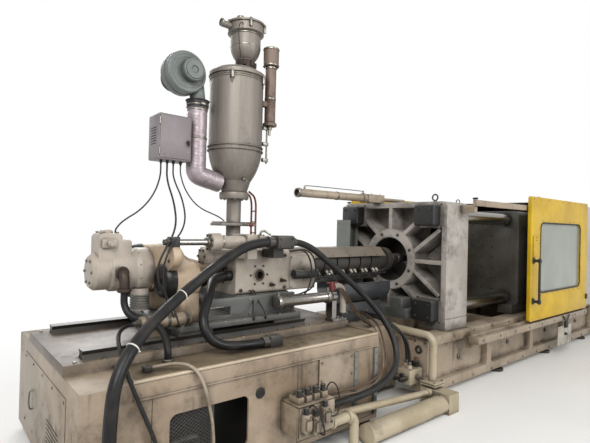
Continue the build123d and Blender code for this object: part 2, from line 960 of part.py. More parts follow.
def fixed_platen():
    """Ribbed platen: rim, hub, tie-bar bosses and ribs left standing between deep pockets."""
    height = platen_z1 - platen_z0
    centre_z = (platen_z0 + platen_z1) / 2 - axis_z
    rear = across(platen_rear_x)
    body = extrude(rear * Pos(0, centre_z) * RectangleRounded(2 * platen_half, height, platen_corner), platen_depth)
    field = Pos(0, centre_z) * RectangleRounded(
        2 * (platen_half - platen_rim), height - 2 * platen_rim, platen_corner / 2
    )
    field = field - Circle(hub_r)
    for y, z in tie_bar_places():
        field = field - Pos(y, z) * Rectangle(boss_width, boss_height)
    reach = platen_half + height
    for angle in (0, 90):
        field = field - Rot(0, 0, angle) * Rectangle(reach, rib)
    for side_y in (-1, 1):
        for side_z in (-1, 1):
            for start, end in (((300, 80), (650, 350)), ((150, 260), (420, 480))):
                run_y = end[0] - start[0]
                run_z = end[1] - start[1]
                middle = ((start[0] + end[0]) / 2, (start[1] + end[1]) / 2)
                length = (run_y**2 + run_z**2) ** 0.5
                turn = Vector(run_y * side_y, run_z * side_z).get_angle(Vector(1, 0))
                if side_z < 0:
                    turn = -turn
                bar = Pos(middle[0] * side_y, middle[1] * side_z) * Rot(0, 0, turn) * Rectangle(length, rib)
                field = field - bar
    body = body - extrude(rear * field, pocket_depth)
    body = body - shaft_x((platen_rear_x - 1, platen_rear_x + hub_bore_depth), 0, axis_z, hub_bore_r)
    body = body - shaft_x((platen_rear_x, platen_rear_x + platen_depth + 1), 0, axis_z, locating_r)
    for y, z in tie_bar_places():
        body = body - shaft_x(
            (platen_rear_x - 1, platen_rear_x + platen_depth + 1), y, axis_z + z, tie_r + seat_gap
        )
    foot = block(
        (platen_rear_x, platen_rear_x + platen_depth),
        (-platen_half, -platen_half + platen_foot),
        (clamp_bed_top, platen_z0 + platen_rim),
    )
    return body + foot + mirror(foot, about=Plane.XZ)


def tie_bar_nuts():
    """Square nuts on the platen's rear, whose end plates cover the tie bars."""
    nuts = []
    face_x = platen_rear_x - nut_length
    for y, z in tie_bar_places():
        outline = RectangleRounded(boss_width - nut_margin, boss_height - nut_margin, 26)
        nut = extrude(across(face_x) * Pos(y, z) * outline, nut_length - seat_gap)
        nut = chamfer(nut.faces().sort_by(Axis.X)[0].edges(), 10)
        nuts.append(nut - shaft_x((face_x + nut_cap, platen_rear_x), y, axis_z + z, tie_r + seat_gap))
    return Compound(children=nuts)


def tie_bars():
    """Four tie bars from inside the rear nuts to behind the tail platen."""
    x = (platen_rear_x - nut_length + nut_cap + seat_gap, tail_x + tail_depth + 60)
    return Compound(children=[shaft_x(x, y, axis_z + z, tie_r) for y, z in tie_bar_places()])


def drilled_platen(x, depth, half, height):
    """A plain platen with its four tie-bar holes and rounded corners."""
    body = extrude(across(x) * RectangleRounded(2 * half, height, platen_corner), depth)
    for y, z in tie_bar_places():
        body = body - shaft_x((x - 1, x + depth + 1), y, axis_z + z, tie_r + seat_gap)
    return body


def moving_platen():
    """Moving platen with deep windows beside its middle, on slide shoes."""
    body = drilled_platen(moving_x, moving_depth, moving_half, moving_height)
    shoe = block(
        (moving_x - 120, moving_x + moving_depth + 120),
        (-moving_half + 20, -moving_half + 200),
        (clamp_bed_top + seat_gap, axis_z - moving_height / 2 + 30),
    )
    return body + shoe + mirror(shoe, about=Plane.XZ)


def tail_platen():
    """Tail platen at the tie bars' far ends, on its feet."""
    body = drilled_platen(tail_x, tail_depth, moving_half, moving_height)
    foot = block(
        (tail_x, tail_x + tail_depth),
        (-moving_half + 20, -moving_half + 240),
        (clamp_bed_top + seat_gap, axis_z - moving_height / 2 + 30),
    )
    return body + foot + mirror(foot, about=Plane.XZ)


def clamp_cylinder():
    """Clamp cylinder on the tail platen, with its ram to the moving platen."""
    body = shaft_x((tail_x - clamp_length, tail_x), 0, axis_z, clamp_r)
    collar = shaft_x((tail_x - clamp_length, tail_x - clamp_length + 120), 0, axis_z, clamp_r + 35)
    ram = shaft_x((moving_x + moving_depth, tail_x - clamp_length), 0, axis_z, ram_r)
    return body + collar + ram


def clamp_bed():
    """Two side beams with a flange, web and recessed bays, cross members and end plates."""
    x = (clamp_bed_x, clamp_end_x)
    outer = clamp_bed_half
    beam = block(x, (-outer, -outer + beam_width), (foot_height, clamp_bed_top))
    bay = (x[1] - x[0] - 200) / web_bays
    for i in range(web_bays):
        start = x[0] + 100 + i * bay + 50
        recess = Pos(start + (bay - 100) / 2, -outer, (foot_height + clamp_bed_top) / 2) * Rot(90, 0, 0) * extrude(
            RectangleRounded(bay - 100, clamp_bed_top - foot_height - 2 * beam_flange - 60, 50), 70, both=True
        )
        beam = beam - recess
    bed = beam + mirror(beam, about=Plane.XZ)
    for place in (x[0], 500, 2300, x[1] - 120):
        bed = bed + block(
            (place, place + 120),
            (-outer + beam_width - 1, outer - beam_width + 1),
            (foot_height + 80, clamp_bed_top - beam_flange),
        )
    return bed


def clamp_cover():
    """Sheet cover over the clamp unit, open towards the mould and below."""
    x = (cover_open_x, clamp_end_x - 20)
    height = cover_top_z - clamp_bed_top
    outer = block(x, (-cover_half, cover_half), (clamp_bed_top + 2, cover_top_z))
    outer = fillet(outer.edges().filter_by(Axis.X).group_by(Axis.Z)[-1], cover_bend)
    inner = block(
        (x[0] - 1, x[1] - cover_wall),
        (-cover_half + cover_wall, cover_half - cover_wall),
        (clamp_bed_top, cover_top_z - cover_wall),
    )
    inner = fillet(inner.edges().filter_by(Axis.X).group_by(Axis.Z)[-1], cover_bend - cover_wall)
    ledge = block(x, (-cover_half, -clamp_bed_half + 20), (clamp_bed_top - 40, clamp_bed_top + 2)) - block(
        (x[0] - 1, x[1] + 1), (-clamp_bed_half - seat_gap, 0), (0, clamp_bed_top + seat_gap)
    )
    return outer - inner + ledge + mirror(ledge, about=Plane.XZ)


def gate_outline(inset):
    """The gate's rectangle less an inset, in its own upright plane."""
    return RectangleRounded(gate_length - 2 * inset, gate_z1 - gate_z0 - 2 * inset, gate_corner)


def gate_plane(y):
    """Upright plane that faces the near side, centred on the gate."""
    centre = (gate_x0 + gate_length / 2, y, (gate_z0 + gate_z1) / 2)
    return Plane(origin=centre, x_dir=(1, 0, 0), z_dir=(0, -1, 0))


def window_outline(grow):
    """The rounded window opening, grown on every side."""
    width = gate_length - window_inset_left - window_inset_right
    shift_x = (window_inset_left - window_inset_right) / 2
    shift_z = (window_z0 + window_z1) / 2 - (gate_z0 + gate_z1) / 2
    return Pos(shift_x, shift_z) * RectangleRounded(
        width + 2 * grow, window_z1 - window_z0 + 2 * grow, window_corner + grow
    )


def gate_frame():
    """Folded sheet gate: front skin, hollow back with a returned edge, and a window opening."""
    front = gate_plane(gate_y + gate_depth / 2)
    body = extrude(front * gate_outline(0), gate_depth)
    body = body - extrude(front * window_outline(0), gate_depth)
    return body.fuse(*gate_hangers())


def gate_window():
    """Clear pane in the gate's window opening."""
    return extrude(gate_plane(gate_y + glass / 2) * window_outline(-seat_gap), glass)


def gate_handle():
    """Upright grab bar on two standoffs."""
    face_y = gate_y - gate_depth / 2
    bar_y = face_y - handle_reach
    bar = shaft_z(handle_x, bar_y, (handle_z0 - 30, handle_z1 + 30), handle_r)
    for z in (handle_z0, handle_z1):
        bar = bar + shaft_y(handle_x, (bar_y, face_y), z, handle_r + 4)
    return bar


def gate_hangers():
    """Brackets on the gate's back that run over the top rail and below it."""
    back = gate_y + gate_depth / 2
    parts = []
    for x in (gate_x0 + 200, gate_x0 + gate_length - 300):
        plate = block((x, x + 100), (back, back + 8), (top_rail_z - 60, gate_z1 - 20))
        hook_z = top_rail_z + top_rail_height / 2 + seat_gap
        hook = block((x, x + 100), (back, gate_rail_y + gate_rail / 2), (hook_z, hook_z + 17))
        parts.append(plate + hook)
    return parts


def gate_rails():
    """On each side a top rail on brackets, and a bottom rail on a sill beam along the clamp bed."""
    x = (platen_rear_x + 250, gate_x0 + gate_length + 40)
    y = (gate_rail_y - gate_rail / 2, gate_rail_y + gate_rail / 2)
    top = block(x, y, (top_rail_z - top_rail_height / 2, top_rail_z + top_rail_height / 2))
    near_arm = block((x[0], x[0] + 60), (gate_rail_y, -platen_half), (top_rail_z - 100, top_rail_z - 20))
    far_arm = block((x[1] - 60, x[1]), (gate_rail_y, -cover_half), (top_rail_z - 100, top_rail_z - 20))
    mid_arm = block(
        (cover_open_x, cover_open_x + 60), (gate_rail_y, -cover_half), (top_rail_z - 100, top_rail_z - 20)
    )
    sill_y = (gate_y - 20, -clamp_bed_half - 60)
    sill = block(x, sill_y, (sill_z0, sill_z1)) + block(x, y, (sill_z1, gate_z0 - 5))
    for place in (x[0] + 40, 600, 1500, x[1] - 120):
        sill = sill + block((place, place + 80), (sill_y[1] - 1, -clamp_bed_half), (sill_z0 - 60, sill_z1 - 15))
    upper = top + near_arm + mid_arm + far_arm
    return Compound(children=[both_sides(upper), both_sides(sill)])


def far_gate():
    """The far side's gate, shut: the near one's mirror image, with its pane and handle."""
    near = gate_frame() + gate_handle()
    shut = Pos(-gate_stroke, 0, 0)
    return Compound(
        children=[
            shut * mirror(near, about=Plane.XZ),
            shut * mirror(gate_window(), about=Plane.XZ),
        ]
    )


def top_cylinder():
    """Long cylinder on the fixed platen's top, held by a block over the rear edge."""
    y = top_tube_y
    z = top_tube_z
    body = shaft_x((top_tube_x0, top_tube_x1), y, z, top_tube_r)
    mouth = shaft_x((top_tube_x0 - 1, top_tube_x0 + collar_length), y, z, top_tube_r - mouth_wall)
    collar = shaft_x((top_tube_x1 - collar_length, top_tube_x1), y, z, top_tube_r + 12)
    clamp_x1 = platen_rear_x + top_clamp_half
    clamp = block((top_tube_x1, clamp_x1), (y - top_clamp_half, y + top_clamp_half), (platen_z1, z + top_clamp_rise))
    bar = shaft_x((clamp_x1, platen_rear_x + platen_depth + top_bar_past), y, z, top_bar_r)
    return body - mouth + collar + clamp + bar


def nozzle_bridge():
    """Beam across the platen's rear under the nozzle, with a box bracket."""
    x = (platen_rear_x - bridge_depth, platen_rear_x)
    beam = block(x, (-bridge_half, bridge_half), (neck_top_z + 5, bridge_top_z))
    bracket = block(x, (bridge_box_y0, bridge_box_y1), (bridge_top_z, bridge_box_top_z))
    return beam + bracket


def trough_outline(half, bottom, corner):
    """A U-shaped outline in the plane across the machine, closed along its top."""
    top = trough_top_z - axis_z
    legs = FilletPolyline((-half, top), (-half, bottom), (half, bottom), (half, top), radius=corner)
    return make_face(legs + Line((half, top), (-half, top)))


def drool_trough():
    """U-shaped sheet trough under the barrel's front, open above and at its ends, on a pedestal."""
    bottom = trough_top_z - trough_depth - axis_z
    outer = trough_outline(trough_half, bottom, trough_corner)
    inner = trough_outline(trough_half - trough_sheet, bottom + trough_sheet, trough_corner - trough_sheet)
    pedestal = block(
        (trough_x0 + pedestal_inset, trough_x0 + trough_length - pedestal_inset),
        (-pedestal_half, pedestal_half),
        (neck_top_z + seat_gap, axis_z + bottom + trough_sheet / 2),
    )
    return extrude(across(trough_x0) * (outer - inner), trough_length) + pedestal


def bed_pipes():
    """Elbow pipe from the neck down to the floor pipe, a sloping drain and a short pipe with an elbow."""
    path = FilletPolyline(
        (pipe_x, -neck_half - seat_gap, pipe_z), (pipe_x, pipe_y, pipe_z), (pipe_x, pipe_y, 45), radius=pipe_bend
    )
    joint = block(
        (floor_pipe_x1, pipe_x + pipe_r + 24), (floor_pipe_y - floor_pipe_r, pipe_y + 60), (0, 2 * floor_pipe_r + 15)
    )
    lower = shaft_x((floor_pipe_x0, floor_pipe_x1 + 1), floor_pipe_y, floor_pipe_r, floor_pipe_r)
    start = (manifold_x + seat_gap, drain_y, drain_high_z)
    drain = round_sweep(Line(start, (floor_pipe_x1 + 10, drain_y, drain_low_z)), drain_r)
    flat_end = block((manifold_x - 2 * drain_r, manifold_x + seat_gap), (-1100, -800), (0, bed_top_z))
    return round_sweep(path, pipe_r) + joint + lower + (drain - flat_end)


def short_pipe():
    """Short pipe from the manifold with an elbow down to a foot on the floor."""
    y = short_pipe_y
    path = FilletPolyline(
        (manifold_x + seat_gap, y, short_pipe_z), (short_pipe_x, y, short_pipe_z), (short_pipe_x, y, 20), radius=75
    )
    foot = shaft_z(short_pipe_x, y, (0, 24), short_pipe_r + 3)
    return round_sweep(path, short_pipe_r) + foot


def valve_block():
    """Small valve body on the clamp bed's end, with two capped ports on top."""
    x = (valve_x - 100, clamp_bed_x - seat_gap)
    body = block(x, (valve_y - 75, valve_y + 75), (valve_z0, valve_z1))
    body = fillet(body.edges().filter_by(Axis.Z).group_by(Axis.X)[0], 15)
    for px, py in port_places():
        body = body + shaft_z(px, py, (valve_z1, valve_z1 + port_rise), thin_hose_r + 12)
    return body


def port_places():
    """The valve body's two ports, as X and Y."""
    return [(valve_x - 60, valve_y - 35), (valve_x - 10, valve_y + 35)]


def round_sweep(path, radius):
    """A round bar along a path."""
    return sweep(Plane(origin=path @ 0, z_dir=path % 0) * Circle(radius), path=path)


def hose(points, radius):
    """A hose of straight runs joined by the largest tangent arcs that its runs allow."""
    places = [Vector(*point) for point in points]
    radii = []
    for before, corner, after in zip(places, places[1:], places[2:]):
        turn = (corner - before).get_angle(after - corner)
        run = min((corner - before).length, (after - corner).length)
        radii.append(arc_share * run / tan(radians(turn / 2)))
    path = FilletPolyline(*points, radius=radii)
    print("hose", round(path.length), "smallest bend", round(min(radii)), "of diameter", 2 * radius)
    return round_sweep(path, radius)


def flange_valve():
    """Round valve with a bolted flange, mounted on the throat block's rear face."""
    x0 = block_x0 - seat_gap - flange_valve_length
    body = shaft_x((x0, block_x0 - seat_gap), flange_valve_y, flange_valve_z, flange_valve_r)
    flange = shaft_x((x0, x0 + 70), flange_valve_y, flange_valve_z, flange_valve_r + 20)
    return body + flange


def oil_tube():
    """Tube that lies on the carriage's floor on a long foot and reaches out behind it."""
    z = carriage_floor_z() + oil_tube_r + 6
    tube = shaft_x((oil_tube_x0, oil_tube_x1), oil_tube_y, z, oil_tube_r)
    foot = block(
        (carriage_x0 + 10, oil_tube_x1 - 10), (oil_tube_y - 24, oil_tube_y + 24), (carriage_floor_z() + seat_gap, z)
    )
    return tube + foot


def hose_saddle():
    """Bracket on the throat block's near side that both large hoses end in."""
    body = block((saddle_x0, saddle_x1), (saddle_y - 60, saddle_y + 50), (saddle_z - 55, saddle_z + 52))
    body = fillet(body.edges().filter_by(Axis.X), 20)
    arm = block(
        (saddle_x0 + 30, saddle_x1 - 30), (saddle_y + 40, -block_half - seat_gap), (saddle_z - 130, saddle_z - 40)
    )
    return body + arm


def big_hose():
    """Large hose from the saddle past the crosshead and down beside the bed."""
    return hose(
        [
            (saddle_x0 - seat_gap, saddle_y, saddle_z),
            (-3150, saddle_y, saddle_z),
            (-3440, -575, 1410),
            (-3790, -670, 1215),
            (-4110, -845, 1055),
            (-4305, -975, 880),
            (elbow_x, elbow_y, 650),
            (elbow_x, elbow_y, elbow_z + seat_gap),
        ],
        big_hose_r,
    )


def loop_hose():
    """Hose from the block's rear face down on to the near tray."""
    return hose(
        [
            (block_x0 - seat_gap, -225, 1245),
            (-3340, -225, 1245),
            (-3480, -450, 1170),
            (-3630, -590, 990),
            (-3560, -650, 840),
            (-3340, tray_fitting_y, tray_hose_z),
            (tray_fitting_x - seat_gap, tray_fitting_y, tray_hose_z),
        ],
        loop_hose_r,
    )


def front_hose():
    """Hose from the saddle past the barrel and back along the bed's near side."""
    return hose(
        [
            (saddle_x1 + seat_gap, saddle_y, saddle_z),
            (-2640, saddle_y, saddle_z),
            (-2380, -535, 1340),
            (-2090, -600, 1110),
            (-1900, -700, 890),
            (-1840, -820, 680),
            (-1900, -905, 500),
            (-2090, -955, 395),
            (-2340, -965, 350),
            (-2590, manifold_y, manifold_z),
            (manifold_x + seat_gap, manifold_y, manifold_z),
        ],
        front_hose_r,
    )


def valve_hoses():
    """The two thin hoses' routes from the trough's pedestal to the valve body's ports."""
    routes = []
    for start_x, (x, y) in zip((-1570, -1510), port_places()):
        routes.append(
            [
                (start_x, -pedestal_half - seat_gap, 770),
                (start_x, -290, 770),
                (start_x + 30, y / 2 - 130, 735),
                (x - 12, y + 50, 630),
                (x, y, 480),
                (x, y, valve_z1 + port_rise + seat_gap),
            ]
        )
    return routes


def side_cable():
    """Thin cable from the tray down the bed's near side."""
    return hose(
        [
            (cable_gland_x + seat_gap, cable_gland_y, cable_gland_z),
            (-3950, cable_gland_y, cable_gland_z),
            (-3880, -790, 812),
            (-3820, -874, 803),
            (-3760, -896, 700),
            (-3710, cable_y, 540),
            (cable_x, cable_y, 380),
            (cable_x, cable_y, cable_z + seat_gap),
        ],
        side_cable_r,
    )


def hose_fittings():
    """Where the hoses end on the bed: an upturned elbow, a tray fitting, a side manifold and two glands."""
    foot_z = elbow_z - elbow_drop
    elbow_path = FilletPolyline(
        (elbow_x, -bed_half, foot_z), (elbow_x, elbow_y, foot_z), (elbow_x, elbow_y, elbow_z), radius=elbow_bend
    )
    elbow = round_sweep(elbow_path, big_hose_r + 8)
    tray_z = bed_top_z + tray_floor
    tray = block(
        (tray_fitting_x, tray_fitting_x + tray_fitting_length),
        (tray_fitting_y - loop_hose_r - 8, tray_fitting_y + loop_hose_r + 8),
        (tray_z, tray_hose_z + loop_hose_r + 8),
    )
    manifold = block(
        (manifold_x - manifold_length, manifold_x),
        (manifold_y - manifold_half, -bed_half),
        (manifold_z - manifold_half, manifold_z + manifold_half),
    )
    manifold = fillet(manifold.edges().filter_by(Axis.X).group_by(Axis.Y)[0], 22)
    post = shaft_z(cable_x, cable_y, (cable_z - 60, cable_z), gland_half - 7)
    gland = post + block(
        (cable_x - gland_half, cable_x + gland_half), (cable_y - 8, -bed_half), (cable_z - 80, cable_z - 30)
    )
    plinth_gland = block(
        (cable_gland_x - 2 * gland_half, cable_gland_x),
        (cable_gland_y - gland_half, cable_gland_y + gland_half),
        (tray_z, cable_gland_z + 14),
    )
    return Compound(children=[elbow, tray, manifold, gland, plinth_gland])


NODES = {
    "injection_bed": injection_bed,
    "bed_neck": bed_neck,
    "drip_trays": drip_trays,
    "guide_rails": guide_rails,
    "mesh_grille": mesh_grille,
    "front_plate": front_plate,
    "levelling_feet": levelling_feet,
    "carriage_base": carriage_base,
    "throat_block": throat_block,
    "injection_cylinders": injection_cylinders,
    "injection_rods": injection_rods,
    "crosshead": crosshead,
    "hydraulic_motor": hydraulic_motor,
    "end_caps": end_caps,
    "rod_brackets": rod_brackets,
    "barrel": barrel,
    "barrel_cover": barrel_cover,
    "shift_cylinders": shift_cylinders,
    "shift_rods": shift_rods,
    "flange_valve": flange_valve,
    "oil_tube": oil_tube,
    "feed_throat": feed_throat,
    "hopper": hopper,
    "hopper_lid": hopper_lid,
    "loader": loader,
    "blower": blower,
    "blower_duct": blower_duct,
    "control_box": control_box,
    "return_pipe": return_pipe,
    "fixed_platen": fixed_platen,
    "tie_bar_nuts": tie_bar_nuts,
    "tie_bars": tie_bars,
    "moving_platen": moving_platen,
    "tail_platen": tail_platen,
    "clamp_cylinder": clamp_cylinder,
    "clamp_bed": clamp_bed,
    "clamp_cover": clamp_cover,
    "gate_frame": gate_frame,
    "gate_window": gate_window,
    "gate_handle": gate_handle,
    "gate_rails": gate_rails,
    "far_gate": far_gate,
    "top_cylinder": top_cylinder,
    "nozzle_bridge": nozzle_bridge,
    "drool_trough": drool_trough,
    "bed_pipes": bed_pipes,
    "short_pipe": short_pipe,
    "valve_block": valve_block,
    "hose_saddle": hose_saddle,
    "hose_fittings": hose_fittings,
    "big_hose": big_hose,
    "loop_hose": loop_hose,
    "front_hose": front_hose,
    "valve_hose_a": lambda: hose(valve_hoses()[0], thin_hose_r),
    "valve_hose_b": lambda: hose(valve_hoses()[1], thin_hose_r),
    "side_cable": side_cable,
}

os.makedirs("parts", exist_ok=True)
for name, make in NODES.items():
    export_step(make(), f"parts/{name}.step")
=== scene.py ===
import bmesh
import bpy
import json
from math import cos, hypot, pi, radians, sin
from mathutils import Matrix, Vector

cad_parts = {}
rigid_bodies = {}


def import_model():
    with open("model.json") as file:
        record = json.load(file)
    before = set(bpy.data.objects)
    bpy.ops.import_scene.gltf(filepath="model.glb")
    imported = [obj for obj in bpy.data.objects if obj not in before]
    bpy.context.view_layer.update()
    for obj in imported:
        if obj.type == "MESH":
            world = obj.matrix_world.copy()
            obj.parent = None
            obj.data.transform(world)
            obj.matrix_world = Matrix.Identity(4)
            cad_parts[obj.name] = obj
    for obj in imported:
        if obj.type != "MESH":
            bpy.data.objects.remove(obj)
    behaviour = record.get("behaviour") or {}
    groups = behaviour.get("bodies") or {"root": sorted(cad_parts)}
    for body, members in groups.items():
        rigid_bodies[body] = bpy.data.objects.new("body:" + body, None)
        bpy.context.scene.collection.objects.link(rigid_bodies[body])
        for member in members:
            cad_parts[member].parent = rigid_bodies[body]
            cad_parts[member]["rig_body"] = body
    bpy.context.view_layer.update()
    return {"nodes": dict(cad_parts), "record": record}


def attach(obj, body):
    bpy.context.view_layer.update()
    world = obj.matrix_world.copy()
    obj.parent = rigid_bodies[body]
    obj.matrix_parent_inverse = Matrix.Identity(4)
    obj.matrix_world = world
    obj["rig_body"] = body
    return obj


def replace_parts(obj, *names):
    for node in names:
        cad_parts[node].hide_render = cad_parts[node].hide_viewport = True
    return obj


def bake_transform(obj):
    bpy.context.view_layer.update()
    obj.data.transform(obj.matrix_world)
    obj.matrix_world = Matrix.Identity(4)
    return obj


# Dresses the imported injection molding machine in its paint, grime, hoses and fittings.
# X runs along the screw to the clamp end, Y to the far side, Z up, in metres.

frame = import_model()
nodes = frame["nodes"]

# Camera, fitted to the photograph
EYE = (-5.10, -3.324, 1.65)
EYE_RIGHT = (0.7686, -0.6393, 0.0243)
EYE_UP = (-0.0254, 0.0075, 0.9996)
EYE_LENS = 27.58

# Directions
AHEAD = (1, 0, 0)
BACK = (-1, 0, 0)
FAR = (0, 1, 0)
NEAR = (0, -1, 0)
UP = (0, 0, 1)
DOWN = (0, 0, -1)
SIDES = (-1, 1)

# Places along the machine
SCREW_Z = 1.300
NEAR_WALL = -0.850
SEAM_X = -4.060
BED_STEP_X = -2.980
GRILLE_X = -3.950
PLINTH_TOP = 0.816
FLOOR_Z = 0.9423
BLOCK_REAR = -3.180
BLOCK_FACE = -0.300
PORT_X = -2.955
PORT_Z = 1.246
CYLINDER_Y = 0.400
SHIFT_Y = 0.440
SHIFT_Z = 1.035
ARM_REAR = -3.780
MOTOR_TOP = 1.571
OIL_TUBE = (-0.425, 0.992)
HOPPER_X = -3.025
LOADER_X = -2.947
BLOWER_X = -3.520
BLOWER_Z = 2.835
DUCT_X = -3.392
RETURN_X = -2.757
RETURN_Y = -0.125
BANDS = 8
BAND_X = -2.550
BAND_PITCH = 0.172
TROUGH_X = (-1.850, -1.130)
CLAMP_BED_X = -1.300
PLATEN_REAR = -0.900
TIE_Y = 0.530
TIE_Z = 0.500
GATE_FACE = -0.972
HAIR = 0.0002


# Shader groups

class Wiring:
    """Adds nodes to a tree and joins them."""

    def __init__(self, tree):
        self.tree = tree

    def add(self, kind, **settings):
        node = self.tree.nodes.new(kind)
        for key, value in settings.items():
            setattr(node, key, value)
        return node

    def put(self, value, socket):
        """Joins a socket to this one, or sets its value."""
        if isinstance(value, bpy.types.NodeSocket):
            self.tree.links.new(value, socket)
        elif value is not None:
            socket.default_value = value

    def math(self, operation, first, second=None):
        node = self.add("ShaderNodeMath", operation=operation)
        self.put(first, node.inputs[0])
        self.put(second, node.inputs[1])
        return node.outputs[0]

    def times(self, first, second):
        return self.math("MULTIPLY", first, second)

    def plus(self, first, second):
        return self.math("ADD", first, second)

    def minus(self, first, second):
        return self.math("SUBTRACT", first, second)

    def axes(self, kind, output):
        """The X, Y and Z of what another node puts out."""
        split = self.add("ShaderNodeSeparateXYZ")
        self.put(self.add(kind).outputs[output], split.inputs[0])
        return split.outputs

    def facing(self):
        """How far the surface turns up, from -1 to 1."""
        return self.axes("ShaderNodeNewGeometry", "Normal")["Z"]

    def place(self, stretch=(1, 1, 1)):
        """The place on the object, stretched along each axis."""
        where = self.add("ShaderNodeTexCoord").outputs["Object"]
        node = self.add("ShaderNodeMapping")
        self.put(where, node.inputs["Vector"])
        self.put(stretch, node.inputs["Scale"])
        return node.outputs["Vector"]

    def noise(self, scale, detail=4.0, rough=0.6, stretch=(1, 1, 1)):
        node = self.add("ShaderNodeTexNoise")
        self.put(self.place(stretch), node.inputs["Vector"])
        self.put(scale, node.inputs["Scale"])
        self.put(detail, node.inputs["Detail"])
        self.put(rough, node.inputs["Roughness"])
        return node.outputs["Fac"]

    def span(self, value, low, high, to_low=0.0, to_high=1.0):
        """The value moved from one range to another, smoothly and within its ends."""
        node = self.add("ShaderNodeMapRange", interpolation_type="SMOOTHSTEP")
        for item, socket in zip((value, low, high, to_low, to_high), node.inputs):
            self.put(item, socket)
        return node.outputs["Result"]

    def mix(self, share, first, second):
        node = self.add("ShaderNodeMix", data_type="RGBA")
        self.put(share, node.inputs["Factor"])
        self.put(first, node.inputs["A"])
        self.put(second, node.inputs["B"])
        return node.outputs["Result"]

    def effect(self, tree, **values):
        """A group placed with its own values."""
        node = self.add("ShaderNodeGroup", node_tree=tree)
        for key, value in values.items():
            self.put(value, node.inputs[key.capitalize()])
        return node.outputs[0]


def group(name, output, make, **inputs):
    """A shader group with number inputs and one output, which a function wires up."""
    tree = bpy.data.node_groups.new(name, "ShaderNodeTree")
    for label, value in inputs.items():
        socket = tree.interface.new_socket(label, in_out="INPUT", socket_type="NodeSocketFloat")
        socket.default_value = value
    tree.interface.new_socket(output, in_out="OUTPUT", socket_type="NodeSocketFloat")
    wires = Wiring(tree)
    given = wires.add("NodeGroupInput").outputs
    result = wires.add("NodeGroupOutput").inputs
    wires.put(make(wires, given), result[output])
    return tree


def grime_and_corner_shade(wires, given):
    """Oily dirt in patches all over, plus painted shade: an occlusion term darkens corners and hollows."""
    # Painted shade: occlusion darkens corners and hollows, where shade falls.
    hollow = wires.add("ShaderNodeAmbientOcclusion", samples=4)
    wires.put(given["Reach"], hollow.inputs["Distance"])
    corner = wires.minus(1.0, hollow.outputs["AO"])
    patch = wires.noise(given["Scale"], 7.0, 0.65)
    fine = wires.noise(wires.times(given["Scale"], 7.0), 4.0, 0.7)
    both = wires.plus(wires.times(patch, 0.75), wires.times(fine, 0.25))
    level = wires.plus(both, wires.times(corner, 0.45))
    edge = wires.minus(0.92, wires.times(given["Amount"], 0.55))
    return wires.span(level, wires.minus(edge, 0.14), wires.plus(edge, 0.14))


def run_marks(wires, given):
    """Stains that have run down upright faces."""
    streak = wires.noise(given["Spacing"], 3.0, 0.55, (1, 1, 0.07))
    broken = wires.noise(2.2, 3.0, 0.6)
    upright = wires.span(wires.math("ABSOLUTE", wires.facing()), 0.35, 0.75, 1.0, 0.0)
    edge = wires.minus(0.80, wires.times(given["Amount"], 0.35))
    marks = wires.span(streak, edge, wires.plus(edge, 0.16))
    return wires.times(wires.times(marks, upright), wires.span(broken, 0.35, 0.62))


def settled_dust(wires, given):
    """Dust lying on faces that look up."""
    flat = wires.span(wires.facing(), 0.45, 0.95)
    patch = wires.span(wires.noise(4.5, 5.0, 0.65), 0.25, 0.65, 0.45, 1.0)
    return wires.times(wires.times(flat, patch), given["Amount"])


def worn_edges(wires, given):
    """Paint rubbed off along sharp edges, in broken patches."""
    rounded = wires.add("ShaderNodeBevel", samples=4)
    wires.put(given["Width"], rounded.inputs["Radius"])
    turn = wires.add("ShaderNodeVectorMath", operation="DOT_PRODUCT")
    wires.put(rounded.outputs["Normal"], turn.inputs[0])
    wires.put(wires.add("ShaderNodeNewGeometry").outputs["True Normal"], turn.inputs[1])
    edge = wires.span(wires.minus(1.0, turn.outputs["Value"]), 0.03, 0.16)
    gaps = wires.span(wires.noise(16.0, 5.0, 0.7), wires.minus(0.72, given["Amount"]), 0.78)
    return wires.times(edge, gaps)


def fine_grain(wires, given):
    """Low lumps of a casting or of thick paint, as a height."""
    fine = wires.noise(given["Scale"], 5.0, 0.6)
    broad = wires.noise(wires.times(given["Scale"], 0.16), 3.0, 0.5)
    return wires.plus(wires.times(fine, 0.5), broad)


def oil_spill(wires, given):
    """Old oil that darkens the bed's top beside the rails, in soft patches."""
    where = wires.axes("ShaderNodeTexCoord", "Object")
    high = wires.span(where["Z"], 0.745, 0.765)
    close = wires.span(wires.math("ABSOLUTE", where["Y"]), 0.42, 0.70, 1.0, 0.0)
    patch = wires.span(wires.noise(3.2, 5.0, 0.6), 0.25, 0.6, 0.35, 1.0)
    return wires.times(wires.times(high, close), wires.times(patch, given["Amount"]))


# The grime mask carries dirt patches and painted shade in corners.
GRIME_AND_SHADE = group("Grime and painted corner shade", "Mask", grime_and_corner_shade, Scale=3.0, Amount=0.4, Reach=0.06)
RUNS = group("Run marks", "Mask", run_marks, Spacing=14.0, Amount=0.4)
DUST = group("Settled dust", "Mask", settled_dust, Amount=0.5)
WEAR = group("Worn edges", "Mask", worn_edges, Width=0.006, Amount=0.5)
GRAIN = group("Fine grain", "Height", fine_grain, Scale=90.0)
SPILL = group("Oil spill", "Mask", oil_spill, Amount=0.8)


# Materials

def tone(code):
    """A colour written as six hex digits, as a shader takes it."""
    parts = [int(code[i:i + 2], 16) / 255 for i in (0, 2, 4)]
    return tuple(c / 12.92 if c <= 0.04045 else ((c + 0.055) / 1.055) ** 2.4 for c in parts) + (1,)


def material(name):
    """An empty material with its wiring and its main shader."""
    made = bpy.data.materials.new(name)
    made.use_nodes = True
    return made, Wiring(made.node_tree), made.node_tree.nodes["Principled BSDF"]


